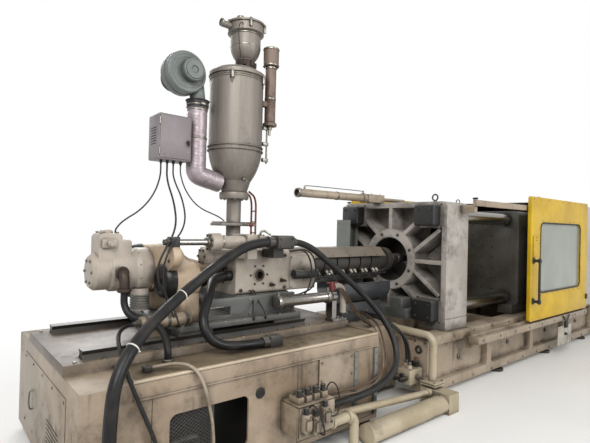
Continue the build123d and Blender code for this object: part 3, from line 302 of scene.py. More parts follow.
def roughen(wires, shader, scale, depth, distance=0.002):
    """Adds the grain's bump to a shader."""
    bump = wires.add("ShaderNodeBump")
    wires.put(depth, bump.inputs["Strength"])
    wires.put(distance, bump.inputs["Distance"])
    wires.put(wires.effect(GRAIN, scale=scale), bump.inputs["Height"])
    wires.put(bump.outputs["Normal"], shader.inputs["Normal"])


def paint(
    name, tones, grime=0.45, runs=0.4, dust=0.3, wear=0.4, gloss=0.42, scale=2.6, oil=0.0, reach=0.06
):
    """Old machine paint of four tones: fresh, faded, dirt (which also paints the shade in corners) and bare
    metal.
    """
    made, wires, shader = material(name)
    fresh, faded, dirt_and_shade, bare = [tone(code) for code in tones.split()]
    colour = wires.mix(wires.span(wires.noise(scale * 0.8, 5.0), 0.35, 0.65), fresh, faded)
    colour = wires.mix(wires.effect(DUST, amount=dust), colour, tone("8f8878"))
    # Dirt patches and painted corner shade, both mixed towards the dirt tone.
    soiled_and_shaded = wires.effect(GRIME_AND_SHADE, scale=scale, amount=grime, reach=reach)
    colour = wires.mix(wires.times(soiled_and_shaded, 0.82), colour, dirt_and_shade)
    colour = wires.mix(wires.times(wires.effect(RUNS, amount=runs), 0.6), colour, dirt_and_shade)
    colour = wires.mix(wires.effect(WEAR, amount=wear), colour, bare)
    if oil:
        colour = wires.mix(wires.effect(SPILL, amount=oil), colour, tone("2a231b"))
    wires.put(colour, shader.inputs["Base Color"])
    wires.put(wires.span(soiled_and_shaded, 0.0, 1.0, gloss, gloss + 0.25), shader.inputs["Roughness"])
    roughen(wires, shader, 70, 0.25)
    return made


def metal(name, tones, rough=0.35, grime=0.35, grain=120, brushed=(1, 1, 1), depth=0.12, metallic=1.0):
    """Bare or plated metal of two tones: its own, and its stains, which also paint the shade in corners."""
    made, wires, shader = material(name)
    clean, stain_and_shade = [tone(code) for code in tones.split()]
    shade = wires.noise(38.0, 6.0, 0.7, brushed)
    colour = wires.mix(wires.span(shade, 0.3, 0.7), clean, tuple(c * 0.82 for c in clean[:3]) + (1,))
    # Stains in patches, and painted shade in corners.
    soiled_and_shaded = wires.effect(GRIME_AND_SHADE, scale=4.0, amount=grime)
    colour = wires.mix(wires.times(soiled_and_shaded, 0.8), colour, stain_and_shade)
    wires.put(colour, shader.inputs["Base Color"])
    shader.inputs["Metallic"].default_value = metallic
    wires.put(wires.span(soiled_and_shaded, 0.0, 1.0, rough, min(rough + 0.3, 0.9)), shader.inputs["Roughness"])
    roughen(wires, shader, grain, depth)
    return made


def rubber(name, tones, rough=0.5, dust=0.5):
    """Hose rubber or cable sheath of two tones, dusty on top."""
    made, wires, shader = material(name)
    clean, dusty = [tone(code) for code in tones.split()]
    colour = wires.mix(wires.span(wires.noise(6.0, 5.0), 0.4, 0.75), clean, dusty)
    colour = wires.mix(wires.effect(DUST, amount=dust), colour, dusty)
    wires.put(colour, shader.inputs["Base Color"])
    wires.put(wires.span(wires.noise(12.0), 0.3, 0.7, rough - 0.12, rough + 0.15), shader.inputs["Roughness"])
    shader.inputs["Specular IOR Level"].default_value = 0.3
    roughen(wires, shader, 160, 0.2, 0.001)
    return made


def clear_pane():
    """Scuffed clear plastic sheet; its pale grey-green colour and low transmission are a painted reflection,
    in blotches of two tones.
    """
    made, wires, shader = material("Clear pane with painted reflection")
    pale_blotches = wires.span(wires.noise(1.6, 3.0, 0.5), 0.3, 0.75)
    scuffs = wires.span(wires.noise(26.0, 6.0, 0.75, (1, 1, 0.25)), 0.6, 0.8)
    # The pale base tones paint the pane's reflection.
    wires.put(wires.mix(pale_blotches, tone("a0a69a"), tone("8f958a")), shader.inputs["Base Color"])
    wires.put(wires.span(scuffs, 0.0, 1.0, 0.16, 0.34), shader.inputs["Roughness"])
    shader.inputs["Transmission Weight"].default_value = 0.3
    shader.inputs["IOR"].default_value = 1.5
    return made


UPRIGHT = (1, 1, 0.05)
CREAM = paint("Grey cream machine paint", "9a8b79 897a67 32291f 34302c", grime=0.58, runs=0.6, dust=0.2)
BED = paint("Oily bed paint", "9a8a77 8a7965 32291f 34302c", grime=0.58, runs=0.65, dust=0.1, oil=0.75)
# The platen's wide reach deepens the painted shade in its rib pockets.
PLATEN = paint("Platen paint", "a69f97 948d85 38322b 504c46", grime=0.6, dust=0.1, scale=3.4, reach=0.2)
COVER = paint("Cover paint", "aeaca4 9f9d94 57503f 55514b", grime=0.3, runs=0.5, scale=1.8)
# A darker copy of the platen paint, as painted shade in the closed mould area.
SHADED = paint("Platen paint darkened as painted shade", "46443e 3a3732 1f1b16 3e3b36", grime=0.6, dust=0.1, scale=3.4)
TAN = paint("Oil-stained tan paint", "857765 746654 2b231b 2b2620", grime=0.62, runs=0.5, scale=3.6)
ARM = paint("Creamy tan paint", "b09c86 9b8770 33281e 2e2822", grime=0.5, scale=3.6)
HOOD = paint("Brown-grey hood paint", "6b5f54 5b5147 2a231c 45403a", grime=0.5, dust=0.35, gloss=0.36)
BLOCK = paint("Pale block paint", "aba196 9a9083 3a3129 3b3733", grime=0.46, dust=0.15)
DECK = paint(
    "Oily deck paint", "98866c 85745c 241d17 34302c", grime=0.62, runs=0.3, dust=0.1, gloss=0.34, oil=0.75
)
# Pale glossy paint for the bead on the bed's top edges: a painted highlight where the rounded lip catches the
# light.
LIP_HIGHLIGHT = paint("Painted lip highlight", "b3a48e 9f907a 4a3d30 6b675e", grime=0.3, runs=0.1, dust=0.1, gloss=0.24)
GREY = paint("Grey enamel", "71756f 636661 35312b 42423f", runs=0.25, dust=0.35)
FRAME_GREY = paint("Oily grey frame paint", "565754 454643 1f1b18 54524d", grime=0.6, dust=0.25, gloss=0.36)
BLOWER = paint(
    "Grey-green fan enamel", "666c69 585e5b 2f2c26 5f5e57", grime=0.42, runs=0.15, dust=0.4, gloss=0.48
)
CABINET = paint("Cabinet paint", "7c7476 6c6466 3b352f 4a4845", grime=0.42, runs=0.3, dust=0.4, gloss=0.48)
PIPE = paint("Pale pipe paint", "aa9e87 978a6f 483d30 5e5a52", grime=0.5, runs=0.3)
TROUGH = paint("Worn tray paint", "3c3f42 313335 1d1a17 5e5e5c", runs=0.3, dust=0.25, gloss=0.34)
YELLOW = paint("Safety yellow paint", "c29f02 ad8b06 54430f 4e4a40", grime=0.34, runs=0.25, dust=0.06)
BLACK = paint("Black enamel", "191919 202020 302a21 48443e", grime=0.3, runs=0.1, gloss=0.5)
OILY = paint("Oily dark steel", "2a2826 35312d 1b1712 57534b", grime=0.4, runs=0.1, gloss=0.38)
# Black for joints, seams, slots and holes, and painted shade on the dark sheets inside the bed and under the
# louvres.
SHADOW = paint(
    "Black joint and painted shade", "100f0e 161412 0c0b0a 201e1c", grime=0.3, runs=0.1, dust=0.1, wear=0.1, gloss=0.6
)
# Dark greasy paint for the hub's bore, darkened further as painted shade.
SHADOW_BORE = paint("Greasy bore in painted shade", "2b2925 211f1c 12100d 45423c", grime=0.5, runs=0.2, dust=0.1, gloss=0.4)
RUST = metal(
    "Rusty greasy steel", "3d3028 1c1612", rough=0.55, grime=0.55, grain=80, depth=0.4, metallic=0.35
)
RUSTED = metal("Rusting sheet pipe", "75655a 412c20", rough=0.6, grime=0.6, brushed=UPRIGHT, metallic=0.3)
STEEL = metal("Dull stainless sheet", "827b73 453f38", rough=0.55, grime=0.5, brushed=UPRIGHT, metallic=0.65)
POLISHED = metal("Polished cylinder tube", "948f89 3b332c", rough=0.26, grime=0.5, depth=0.04, metallic=0.9)
CHROME = metal("Hard chrome rod", "a29e99 4a4239", rough=0.22, depth=0.03)
ZINC = metal("Zinc-plated fitting", "8f8c83 4c4335", rough=0.38, grime=0.45)
COPPER = metal("Copper pipe", "7a4a31 33241a", rough=0.45, grime=0.5)
FOIL = metal("Foil wrap", "a2969a 5d4f50", rough=0.42, grime=0.52, grain=34, depth=1.0, metallic=0.55)
HOSE = rubber("Black hose rubber", "101011 262421", rough=0.42, dust=0.3)
SHEATH = rubber("Brown cable sheath", "5a4435 4a3c30")
TUBE = rubber("Dull cream tube", "9c9080 6c5e4e")
PALE_SHEATH = rubber("Cream cable sheath", "75695a 5c5244")
TIE = rubber("White cable tie", "cfccc2 938e80")
CERAMIC = rubber("Glazed ceramic", "a7a296 726c5f", rough=0.4, dust=0.2)
RED = paint("Dull red enamel", "7c2b2a 6a2a28 2a1815 55403c", grime=0.5)
SEAL = rubber("Window seal rubber", "1d1c1b 332f2c")
PANE = clear_pane()

FINISH = {
    "cream_paint": CREAM,
    "platen_paint": PLATEN,
    "tan_casting": TAN,
    "grey_paint": GREY,
    "yellow_paint": YELLOW,
    "black_paint": BLACK,
    "dark_steel": OILY,
    "bare_steel": STEEL,
    "chrome_rod": CHROME,
    "duct_wrap": FOIL,
    "black_hose": HOSE,
    "brown_cable": SHEATH,
    "clear_pane": PANE,
}

OWN_FINISH = {
    "barrel_cover": HOOD,
    "throat_block": BLOCK,
    "injection_cylinders": BLOCK,
    "hydraulic_motor": BLOCK,
    "shift_cylinders": POLISHED,
    "flange_valve": BLOCK,
    "drip_trays": DECK,
    "clamp_cover": COVER,
    "gate_rails": CREAM,
    # The nozzle bridge takes the dark frame grey: painted shade under the hub.
    "nozzle_bridge": FRAME_GREY,
    "injection_bed": BED,
    "gate_handle": BLACK,
    "crosshead": ARM,
    "carriage_base": FRAME_GREY,
    "blower": BLOWER,
    "control_box": CABINET,
    "drool_trough": TROUGH,
    "bed_pipes": PIPE,
    "short_pipe": PIPE,
    # The moving and tail platens take the darker copy of the platen paint: painted shade.
    "moving_platen": SHADED,
    "tail_platen": SHADED,
    "valve_block": PIPE,
    "return_pipe": RUSTED,
}

slot_of = {row["node"]: row["material_slot"] for row in frame["record"]["subparts"]}


def finish_of(node):
    """A node's own finish, or the one of its slot."""
    return OWN_FINISH.get(node, FINISH[slot_of[node]])


for name, node in nodes.items():
    node.data.materials.clear()
    node.data.materials.append(finish_of(name))


# Mesh building

def mesh_of(shape, name):
    """A mesh with a name, made of a bmesh."""
    mesh = bpy.data.meshes.new(name)
    shape.to_mesh(mesh)
    shape.free()
    return mesh


def placed(name, data):
    """An object made of its data and put in the scene."""
    made = bpy.data.objects.new(name, data)
    bpy.context.scene.collection.objects.link(made)
    return made


def settle(mesh, name, body, finish, corner=32):
    """Makes an object of a mesh, shades it and lets it ride on a body."""
    mesh.name = name
    mesh.materials.clear()
    mesh.materials.append(finish)
    mesh.polygons.foreach_set("use_smooth", [True] * len(mesh.polygons))
    mesh.polygons.foreach_set("material_index", [0] * len(mesh.polygons))
    mesh.set_sharp_from_angle(angle=radians(corner))
    made = placed(name, mesh)
    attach(made, body)
    return made


def eased(node, radius=0.004):
    """A CAD node's shape with its sharp edges rounded, in place of the node."""
    source = nodes[node]
    shape = bmesh.new()
    shape.from_mesh(source.data)
    bmesh.ops.remove_doubles(shape, verts=shape.verts, dist=2e-5)
    bmesh.ops.dissolve_limit(shape, angle_limit=radians(0.8), verts=shape.verts, edges=shape.edges)
    sharp = [e for e in shape.edges if len(e.link_faces) == 2 and e.calc_face_angle(0) > radians(34)]
    bmesh.ops.bevel(
        shape, geom=sharp, offset=radius, offset_type="OFFSET", segments=2, profile=0.5, affect="EDGES"
    )
    mesh = mesh_of(shape, node + "_eased")
    made = settle(mesh, node + "_eased", source["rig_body"], finish_of(node))
    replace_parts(made, node)


def join_rings(shape, low, high):
    """Faces between two rings of as many points."""
    count = len(low)
    for k in range(count):
        shape.faces.new((low[k], low[(k + 1) % count], high[(k + 1) % count], high[k]))


def sweep(shape, places, radius, steps=14):
    """Adds a round tube along places to a bmesh, closed at both ends."""
    rings = []
    side = None
    for i, place in enumerate(places):
        ahead = places[min(i + 1, len(places) - 1)] - places[max(i - 1, 0)]
        ahead.normalize()
        if side is None:
            side = ahead.orthogonal().normalized()
        side = (side - ahead * side.dot(ahead)).normalized()
        other = ahead.cross(side)
        ring = []
        for k in range(steps):
            turn = 2 * pi * k / steps
            ring.append(shape.verts.new(place + (side * cos(turn) + other * sin(turn)) * radius))
        rings.append(ring)
    for low, high in zip(rings, rings[1:]):
        join_rings(shape, low, high)
    shape.faces.new(rings[0][::-1])
    shape.faces.new(rings[-1])


def smooth(points, rounds=3):
    """Places along a line whose corners have been cut again and again."""
    places = [Vector(point) for point in points]
    for _ in range(rounds):
        cut = [places[0]]
        for start, end in zip(places, places[1:]):
            cut += [start.lerp(end, 0.25), start.lerp(end, 0.75)]
        places = cut + [places[-1]]
    return places


def round_frame(x, z, corner, steps=6):
    """A rounded rectangle's outline, as pairs of X and Z."""
    centres = [(x[1] - corner, z[1] - corner), (x[0] + corner, z[1] - corner)]
    centres += [(x[0] + corner, z[0] + corner), (x[1] - corner, z[0] + corner)]
    outline = []
    for quarter, (u, v) in enumerate(centres):
        for k in range(steps + 1):
            turn = pi / 2 * (quarter + k / steps)
            outline.append((u + corner * cos(turn), v + corner * sin(turn)))
    return outline


def around(middle, radius, count, axis=0, first=0.0):
    """Evenly spaced places on a circle across an axis."""
    places = []
    for k in range(count):
        turn = first + 2 * pi * k / count
        across = [radius * cos(turn), radius * sin(turn)]
        across.insert(axis, 0.0)
        places.append(Vector(middle) + Vector(across))
    return places


def spread(start, end, count):
    """Evenly spread values between two ends."""
    return [start + (end - start) * i / (count - 1) for i in range(count)]


def grid(x, y, z):
    """Every place with the given value, or one of the given values, on each axis."""
    x, y, z = [values if hasattr(values, "__len__") else (values,) for values in (x, y, z)]
    return [(a, b, c) for a in x for b in y for c in z]


def about(middle, half):
    """The values on both sides of a middle one."""
    return (middle - half, middle + half)


class Piece:
    """Collects shapes into one mesh of one finish, which rides on a body."""

    def __init__(self, name, finish, body="root"):
        self.name = name
        self.finish = finish
        self.body = body
        self.shape = bmesh.new()

    def box(self, x, y, z, ease=0.002):
        """A box between two places on each axis, with eased edges."""
        size = [span[1] - span[0] for span in (x, y, z)]
        verts = bmesh.ops.create_cube(self.shape, size=1)["verts"]
        bmesh.ops.scale(self.shape, vec=size, verts=verts)
        bmesh.ops.translate(self.shape, vec=[sum(span) / 2 for span in (x, y, z)], verts=verts)
        edges = list(dict.fromkeys(edge for vert in verts for edge in vert.link_edges))
        width = min(ease, min(size) * 0.3)
        bmesh.ops.bevel(self.shape, geom=edges, offset=width, segments=2, profile=0.5, affect="EDGES")
        return self

    def turned(self, start, along, profile, steps=20, hollow=False):
        """A turned body from (distance along, radius) pairs; a hollow one closes on itself."""
        along = Vector(along).normalized()
        side = along.orthogonal().normalized()
        other = along.cross(side)
        rings = []
        for far, radius in profile:
            ring = []
            for k in range(steps):
                turn = 2 * pi * k / steps
                place = Vector(start) + along * far + (side * cos(turn) + other * sin(turn)) * radius
                ring.append(self.shape.verts.new(place))
            rings.append(ring)
        pairs = list(zip(rings, rings[1:]))
        if hollow:
            pairs.append((rings[-1], rings[0]))
        for low, high in pairs:
            join_rings(self.shape, low, high)
        if not hollow:
            self.shape.faces.new(rings[0][::-1])
            self.shape.faces.new(rings[-1])
        return self

    def rod(self, start, along, radius, length, steps=10):
        """A plain round bar."""
        return self.turned(start, along, [(0, radius), (length, radius)], steps)

    def nosed(self, start, along, radius, length, tip, steps=20, cut=0.002):
        """A bar whose end is chamfered down to a tip."""
        return self.turned(start, along, [(0, radius), (length - cut, radius), (length, tip)], steps)

    def fitting(self, start, along, nut, height, pipe, length, steps=6, cut=0.002):
        """A nut with a thinner end that stands out of it."""
        profile = [(0, nut), (height, nut), (height + cut, pipe), (length, pipe)]
        return self.turned(start, along, profile, steps)

    def collar(self, start, along, inner, outer, length, steps=32):
        """A ring about a line, with chamfered outer edges."""
        cut = min(length, outer - inner) * 0.25
        profile = [(0, inner), (0, outer - cut), (cut, outer), (length - cut, outer), (length, outer - cut)]
        return self.turned(start, along, [*profile, (length, inner)], steps, hollow=True)

    def eye(self, place, foot, ring, wire):
        """A lifting eye: a turned foot with a ring of round wire in it."""
        x, y, z = place
        height = foot - 0.002
        self.turned(place, UP, [(0, foot), (0.012, foot), (0.016, foot - 0.012), (height, foot - 0.016)])
        z += height + ring - 0.006
        self.wire([(x, y + ring * sin(t), z - ring * cos(t)) for t in spread(0, 2 * pi, 17)], wire)

    def hexes(self, places, along, radius=0.010, height=0.008):
        """Hexagon heads on round washers."""
        for place in places:
            self.turned(place, along, [(0, radius * 1.3), (height * 0.2, radius * 1.25)], 14)
            head = [(height * 0.2, radius), (height * 0.9, radius), (height, radius * 0.86)]
            self.turned(place, along, head, 6)
        return self

    def screws(self, places, along, radius=0.010, height=0.010):
        """Socket-head cap screws."""
        profile = [(0, 1), (0.88, 1), (1.0, 0.9), (1.0, 0.55), (0.4, 0.5)]
        for place in places:
            self.turned(place, along, [(far * height, wide * radius) for far, wide in profile], 12)
        return self

    def prism(self, outline, axis, span, hole=None):
        """A straight body with an outline across an axis, and a hole of as many points if one is given."""
        def place(pair, far):
            parts = list(pair)
            parts.insert(axis, far)
            return self.shape.verts.new(parts)
        loops = [[place(pair, far) for pair in line] for line in (outline, hole or []) for far in span]
        sides = [(loops[0], loops[1])]
        if hole:
            sides += [(loops[2], loops[3]), (loops[0], loops[2]), (loops[1], loops[3])]
        else:
            self.shape.faces.new(loops[0][::-1])
            self.shape.faces.new(loops[1])
        for low, high in sides:
            join_rings(self.shape, low, high)

    def wire(self, points, radius, steps=8):
        """A bent round wire or pipe."""
        sweep(self.shape, smooth(points), radius, steps)
        return self

    def mirrored(self):
        """Repeats all of it on the far side."""
        everything = self.shape.verts[:] + self.shape.edges[:] + self.shape.faces[:]
        copy = bmesh.ops.duplicate(self.shape, geom=everything)["geom"]
        verts = [item for item in copy if isinstance(item, bmesh.types.BMVert)]
        bmesh.ops.scale(self.shape, vec=(1, -1, 1), verts=verts)
        return self

    def mesh(self):
        """The finished mesh."""
        bmesh.ops.recalc_face_normals(self.shape, faces=self.shape.faces)
        return mesh_of(self.shape, self.name)

    def done(self):
        """The finished object."""
        return settle(self.mesh(), self.name, self.body, self.finish)


def finish_all(*pieces):
    """Finishes pieces that were built side by side."""
    for piece in pieces:
        piece.done()


# Cords

def route_line(name, points):
    """A smooth line with the route's points as its control points."""
    curve = bpy.data.curves.new(name, "CURVE")
    curve.dimensions = "3D"
    curve.resolution_u = 14
    line = curve.splines.new("NURBS")
    line.points.add(len(points) - 1)
    for place, point in zip(points, line.points):
        point.co = (*[value / 1000 for value in place], 1)
    line.order_u = 3
    line.use_endpoint_u = True
    return curve


def line_points(curve):
    """Points read along a route's line."""
    holder = placed("route", curve)
    mesh = bpy.data.meshes.new_from_object(holder.evaluated_get(bpy.context.evaluated_depsgraph_get()))
    places = [v.co.copy() for v in mesh.vertices]
    bpy.data.objects.remove(holder)
    bpy.data.meshes.remove(mesh)
    return places


# Routes, in mm as in the part's source
BIG_HOSE = [
    (-2960.3, -500, 1522), (-3150, -500, 1522), (-3440, -575, 1410), (-3790, -670, 1215),
    (-4110, -845, 1055), (-4305, -975, 880), (-4345, -1005, 650), (-4345, -1005, 400.3),
]
LOOP_HOSE = [
    (-3180.3, -225, 1245), (-3340, -225, 1245), (-3480, -450, 1170), (-3630, -590, 990),
    (-3560, -650, 840), (-3340, -665, 802), (-3120.3, -665, 802),
]
FRONT_HOSE = [
    (-2799.7, -500, 1522), (-2640, -500, 1522), (-2380, -535, 1340), (-2090, -600, 1110), (-1900, -700, 890),
    (-1840, -820, 680), (-1900, -905, 500), (-2090, -955, 395), (-2340, -965, 350), (-2590, -940, 335),
    (-2799.7, -940, 335),
]
VALVE_HOSE_A = [
    (-1570, -120.3, 770), (-1570, -290, 770), (-1540, -485, 735), (-1472, -660, 630), (-1460, -710, 480),
    (-1460, -710, 350.3),
]
VALVE_HOSE_B = [
    (-1510, -120.3, 770), (-1510, -290, 770), (-1480, -450, 735), (-1422, -590, 630), (-1410, -640, 480),
    (-1410, -640, 350.3),
]
SIDE_CABLE = [
    (-4009.7, -700, 786), (-3950, -700, 786), (-3880, -790, 812), (-3820, -874, 803), (-3760, -896, 700),
    (-3710, -882, 540), (-3675, -882, 380), (-3675, -882, 200.3),
]
BIG_HOSE_TIES = [(-3.83, -0.69, 1.20), (-4.215, -0.90, 0.98)]


def hung(made, bend, body="root"):
    """Bakes a cord's placement into its mesh when bend places are given, or lets it ride on a body."""
    if bend:
        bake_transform(made)
    else:
        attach(made, body)


def tube(name, places, radius, steps, finish):
    """A smooth round tube along places, in one finish."""
    shape = bmesh.new()
    sweep(shape, places, radius, steps)
    mesh = mesh_of(shape, name)
    mesh.materials.append(finish)
    mesh.polygons.foreach_set("use_smooth", [True] * len(mesh.polygons))
    return placed(name, mesh)


def tie_rings(name, places, close_to, radius, bend):
    """Pale cable ties round a hose, at the places nearest to the given ones."""
    ties = Piece(name, TIE)
    for spot in close_to:
        i = min(range(1, len(places) - 1), key=lambda k: (places[k] - Vector(spot)).length)
        along = (places[i + 1] - places[i - 1]).normalized()
        ties.collar(places[i] - along * 0.004, along, radius - 0.001, radius + 0.003, 0.008, 24)
        ties.turned(places[i], along.orthogonal(), [(radius, 0.005), (radius + 0.010, 0.005)], 8)
    mesh = ties.mesh()
    mesh.materials.append(TIE)
    made = placed(name, mesh)
    hung(made, bend)
    return made


def hose(node, route, radius, finish, bend=None, ties=()):
    """A hose along its route, in place of its CAD node, as a tube whose placement is baked in when bend
    places are given.
    """
    places = line_points(route_line(node, route))
    made = tube(node + "_tube", places, radius, 14, finish)
    hung(made, bend)
    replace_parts(made, node)
    kept = [tie_rings(node + "_ties", places, ties, radius, bend)] if ties else []


def cable(name, points, radius, finish, body="carriage", bend=None):
    """A free cable or hose along given points, in metres."""
    places = smooth(points, 4)
    made = tube(name, places, radius, 10, finish)
    hung(made, bend, body)


# Injection bed

def mesh_lines(x, z, pitch, slope):
    """Where slanting wires cross a rectangle, as pairs of ends in X and Z."""
    reach = (z[1] - z[0]) / abs(slope)
    base = z[0] if slope > 0 else z[1]
    ends = []
    for i in range(int((x[1] - x[0] + reach) / pitch)):
        start = x[0] - reach + (i + 0.5) * pitch
        low = max(x[0], start)
        high = min(x[1], start + reach)
        if high - low > 0.01:
            ends.append(((low, base + (low - start) * slope), (high, base + (high - start) * slope)))
    return ends


def bed_details():
    """Seams, strips, a pale bead painting the highlight on the top edges, plugs and bolts on both sides of
    the bed.
    """
    skin = (NEAR_WALL - 0.0006, NEAR_WALL + 0.01)
    seams = Piece("bed_seams", SHADOW)
    for x in (SEAM_X, BED_STEP_X):
        seams.box(about(x, 0.002), skin, (0.065, 0.659), HAIR)
    seams.box((BED_STEP_X, -2.11), skin, (0.098, 0.102), HAIR)
    seams.mirrored().done()
    rear = -4.17
    Piece("bed_strips", CREAM).rod((rear, NEAR_WALL - 0.006, 0.664), AHEAD, 0.006, 2.07).mirrored().done()
    # A pale bead along each top edge: painted highlight.
    Piece("bed_lip_highlight", LIP_HIGHLIGHT).rod((rear, NEAR_WALL + 0.008, 0.764), AHEAD, 0.013, 2.06, 24).mirrored().done()
    strip_x = (-2.385, -2.14)
    strip_face = NEAR_WALL - 0.019
    uprights = Piece("bed_uprights", GREY)
    for x in strip_x:
        uprights.box(about(x, 0.018), (strip_face, NEAR_WALL + 0.004), (0.11, 0.655))
    uprights.mirrored().done()
    bolts = Piece("bed_bolts", ZINC)
    bolts.hexes(grid(strip_x, strip_face, spread(0.15, 0.62, 6)), NEAR, 0.007, 0.006)
    plate_face = NEAR_WALL - 0.012
    bolts.hexes(grid((-2.755, -2.43), plate_face, (0.36, 0.495, 0.63)), NEAR, 0.008, 0.007)
    bolts.hexes(grid(spread(-4.38, -2.2, 14), -0.47, PLINTH_TOP), UP, 0.011, 0.009)
    bolts.mirrored().done()
    grille_details()
    plug = Piece("bed_plugs", SEAL)
    plug.nosed((-3.31, NEAR_WALL + 0.002, 0.525), NEAR, 0.036, 0.012, 0.029, 24, 0.005)
    plug.mirrored().done()


def grille_details():
    """The grille's wires and edge strip, and behind them black sheets on the bed's floor and inner walls that
    paint the shade inside, and a drain pipe.
    """
    wires = Piece("grille_wires", OILY)
    y = NEAR_WALL + 0.022
    for slope in (0.7, -0.7):
        for (x0, z0), (x1, z1) in mesh_lines((GRILLE_X - 0.02, -3.66), (0.18, 0.55), 0.032, slope):
            wires.rod((x0, y, z0), (x1 - x0, 0, z1 - z0), 0.0015, hypot(x1 - x0, z1 - z0), 6)
    wires.box((-3.668, -3.648), (y - 0.002, y + 0.003), (0.17, 0.56), 0.001)
    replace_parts(wires.mirrored().done(), "mesh_grille")
    # Black sheets on the bed's floor and inside its walls: painted shade behind the grille.
    Piece("bed_floor_shade", SHADOW).box((-4.2, -3.2), (-0.82, 0.82), (0.002, 0.006), 0.001).done()
    inner = Piece("bed_inner_shade_walls", SHADOW)
    inner.box((-4.15, -3.0), (-0.582, -0.578), (0.01, 0.7), 0.001).mirrored().done()
    drain = [(-3.84, -0.645, 0.262), (-3.68, -0.645, 0.262), (-3.662, -0.645, 0.244), (-3.662, -0.645, 0.01)]
    Piece("bed_inner_pipe", OILY).wire(drain, 0.019, 16).done()


def bed_end():
    """Access door, vent slots and handle on the bed's rear end."""
    x = -4.45
    Piece("bed_end_door", CREAM).box(about(x, 0.004), (-0.6, 0.6), (0.14, 0.66), 0.001).done()
    slots = Piece("bed_end_slots", SHADOW)
    for z in spread(0.24, 0.4, 7):
        slots.box((x - 0.0052, x), (-0.45, -0.15), about(z, 0.005), 0.001)
    slots.done()
    fixings = Piece("bed_end_fixings", ZINC)
    fixings.hexes(grid(x - 0.004, spread(-0.57, 0.57, 5), (0.165, 0.635)), BACK, 0.008, 0.006)
    out = x - 0.028
    fixings.wire([(x, 0.3, 0.45), (out, 0.3, 0.45), (out, 0.3, 0.32), (x, 0.3, 0.32)], 0.006)
    fixings.done()


# Carriage and injection unit

def carriage_details():
    """Floor bolts, shoe wipers, cheek bolts and the bright edge of the cheek's window."""
    bolts = Piece("carriage_bolts", ZINC, "carriage")
    bolts.hexes(grid(spread(-3.69, -2.68, 7), (-0.45, 0.45), FLOOR_Z), UP, 0.01, 0.009)
    cheek_places = grid((-3.49, -3.1, -2.66), -0.385, (0.965, 1.075))
    bolts.hexes(cheek_places, NEAR, 0.008, 0.007)
    bolts.box((-3.462, -3.33), (-0.388, -0.38), (1.029, 1.036), 0.001)
    bolts.done()
    wipers = Piece("shoe_wipers", SEAL, "carriage")
    for x in (-3.724, -3.458, -2.904, -2.638):
        wipers.box(about(x, 0.004), (-0.452, -0.348), (0.874, 0.9), 0.001)
    wipers.mirrored().done()


def throat_details():
    """Cap screws, port ring, water fittings and the bearing ring on the throat block."""
    screws = Piece("throat_screws", OILY, "carriage")
    places = grid((-3.13, -2.69), BLOCK_FACE, (1.13, 1.4)) + [(-2.91, BLOCK_FACE, 1.415)]
    screws.screws(places, NEAR, 0.014, 0.011)
    screws.screws(around((PORT_X, BLOCK_FACE, PORT_Z), 0.082, 6, 1), NEAR, 0.008, 0.009)
    screws.screws(around((BLOCK_REAR, 0, SCREW_Z), 0.165, 8), BACK, 0.011, 0.011)
    screws.screws(around((-2.58, 0, SCREW_Z), 0.155, 10, 0, 0.2), AHEAD, 0.012, 0.013)
    screws.screws(grid((-3.14, -2.68), (-0.24, 0.24), 1.45), UP, 0.014, 0.011)
    screws.done()
    ring = Piece("throat_rings", RUST, "carriage")
    ring.collar((PORT_X, BLOCK_FACE - 0.016, PORT_Z), FAR, 0.03, 0.05, 0.03)
    ring.collar((BLOCK_REAR - 0.022, 0, SCREW_Z), AHEAD, 0.06, 0.14, 0.022)
    for x, z, long in ((-2.72, 1.19, 0.06), (-2.83, 1.16, 0.05)):
        ring.fitting((x, BLOCK_FACE, z), NEAR, 0.016, 0.02, 0.011, long, 12)
    ring.done()
    plugs = Piece("throat_ports", HOSE, "carriage")
    plugs.rod((PORT_X, BLOCK_FACE + 0.029, PORT_Z), NEAR, 0.041, 0.006, 24)
    plugs.collar((BLOCK_REAR - 0.055, -0.225, 1.245), AHEAD, 0.034, 0.043, 0.054, 20)
    plugs.done()


def cylinder_details():
    """Flange screws, gland rings, end plugs and pipe elbows of the injection and carriage cylinders."""
    screws = Piece("cylinder_screws", OILY, "carriage")
    rings = Piece("cylinder_glands", ZINC, "carriage")
    for y, z in ((-CYLINDER_Y, 1.519), (CYLINDER_Y, 1.081)):
        screws.screws(around((-3.474, y, z), 0.055, 8, 0, 0.39), BACK, 0.0075, 0.012)
        rings.collar((-3.492, y, z), AHEAD, 0.0225, 0.036, 0.018, 20)
        rings.collar((-3.392, y, z), AHEAD, 0.046, 0.053, 0.018, 24)
        rings.fitting((-2.97, y, z), AHEAD, 0.026, 0.02, 0.018, 0.04)
        screws.screws(grid(-3.015, about(y, 0.032), z + 0.05), UP, 0.008, 0.009)
    x, y = -3.3, -0.235
    screws.screws(around((-3.4453, y, 1.405), 0.052, 6), BACK, 0.008, 0.011)
    rings.wire([(x, y, 1.449), (x, y, 1.49), (x, -0.29, 1.5), (x, -0.34, 1.5)], 0.008)
    x, y = -3.02, -0.4
    rings.wire([(x, y, 1.569), (x, y, 1.6), (-2.98, y, 1.61), (-2.95, -0.44, 1.575)], 0.009)
    for y in (-SHIFT_Y, SHIFT_Y):
        for x in (-2.86, -2.31):
            rings.collar((x - 0.006, y, SHIFT_Z), AHEAD, 0.046, 0.0575, 0.012, 24)
            rings.fitting((x, y, SHIFT_Z + 0.045), UP, 0.014, 0.022, 0.009, 0.038)
    screws.done()
    rings.done()


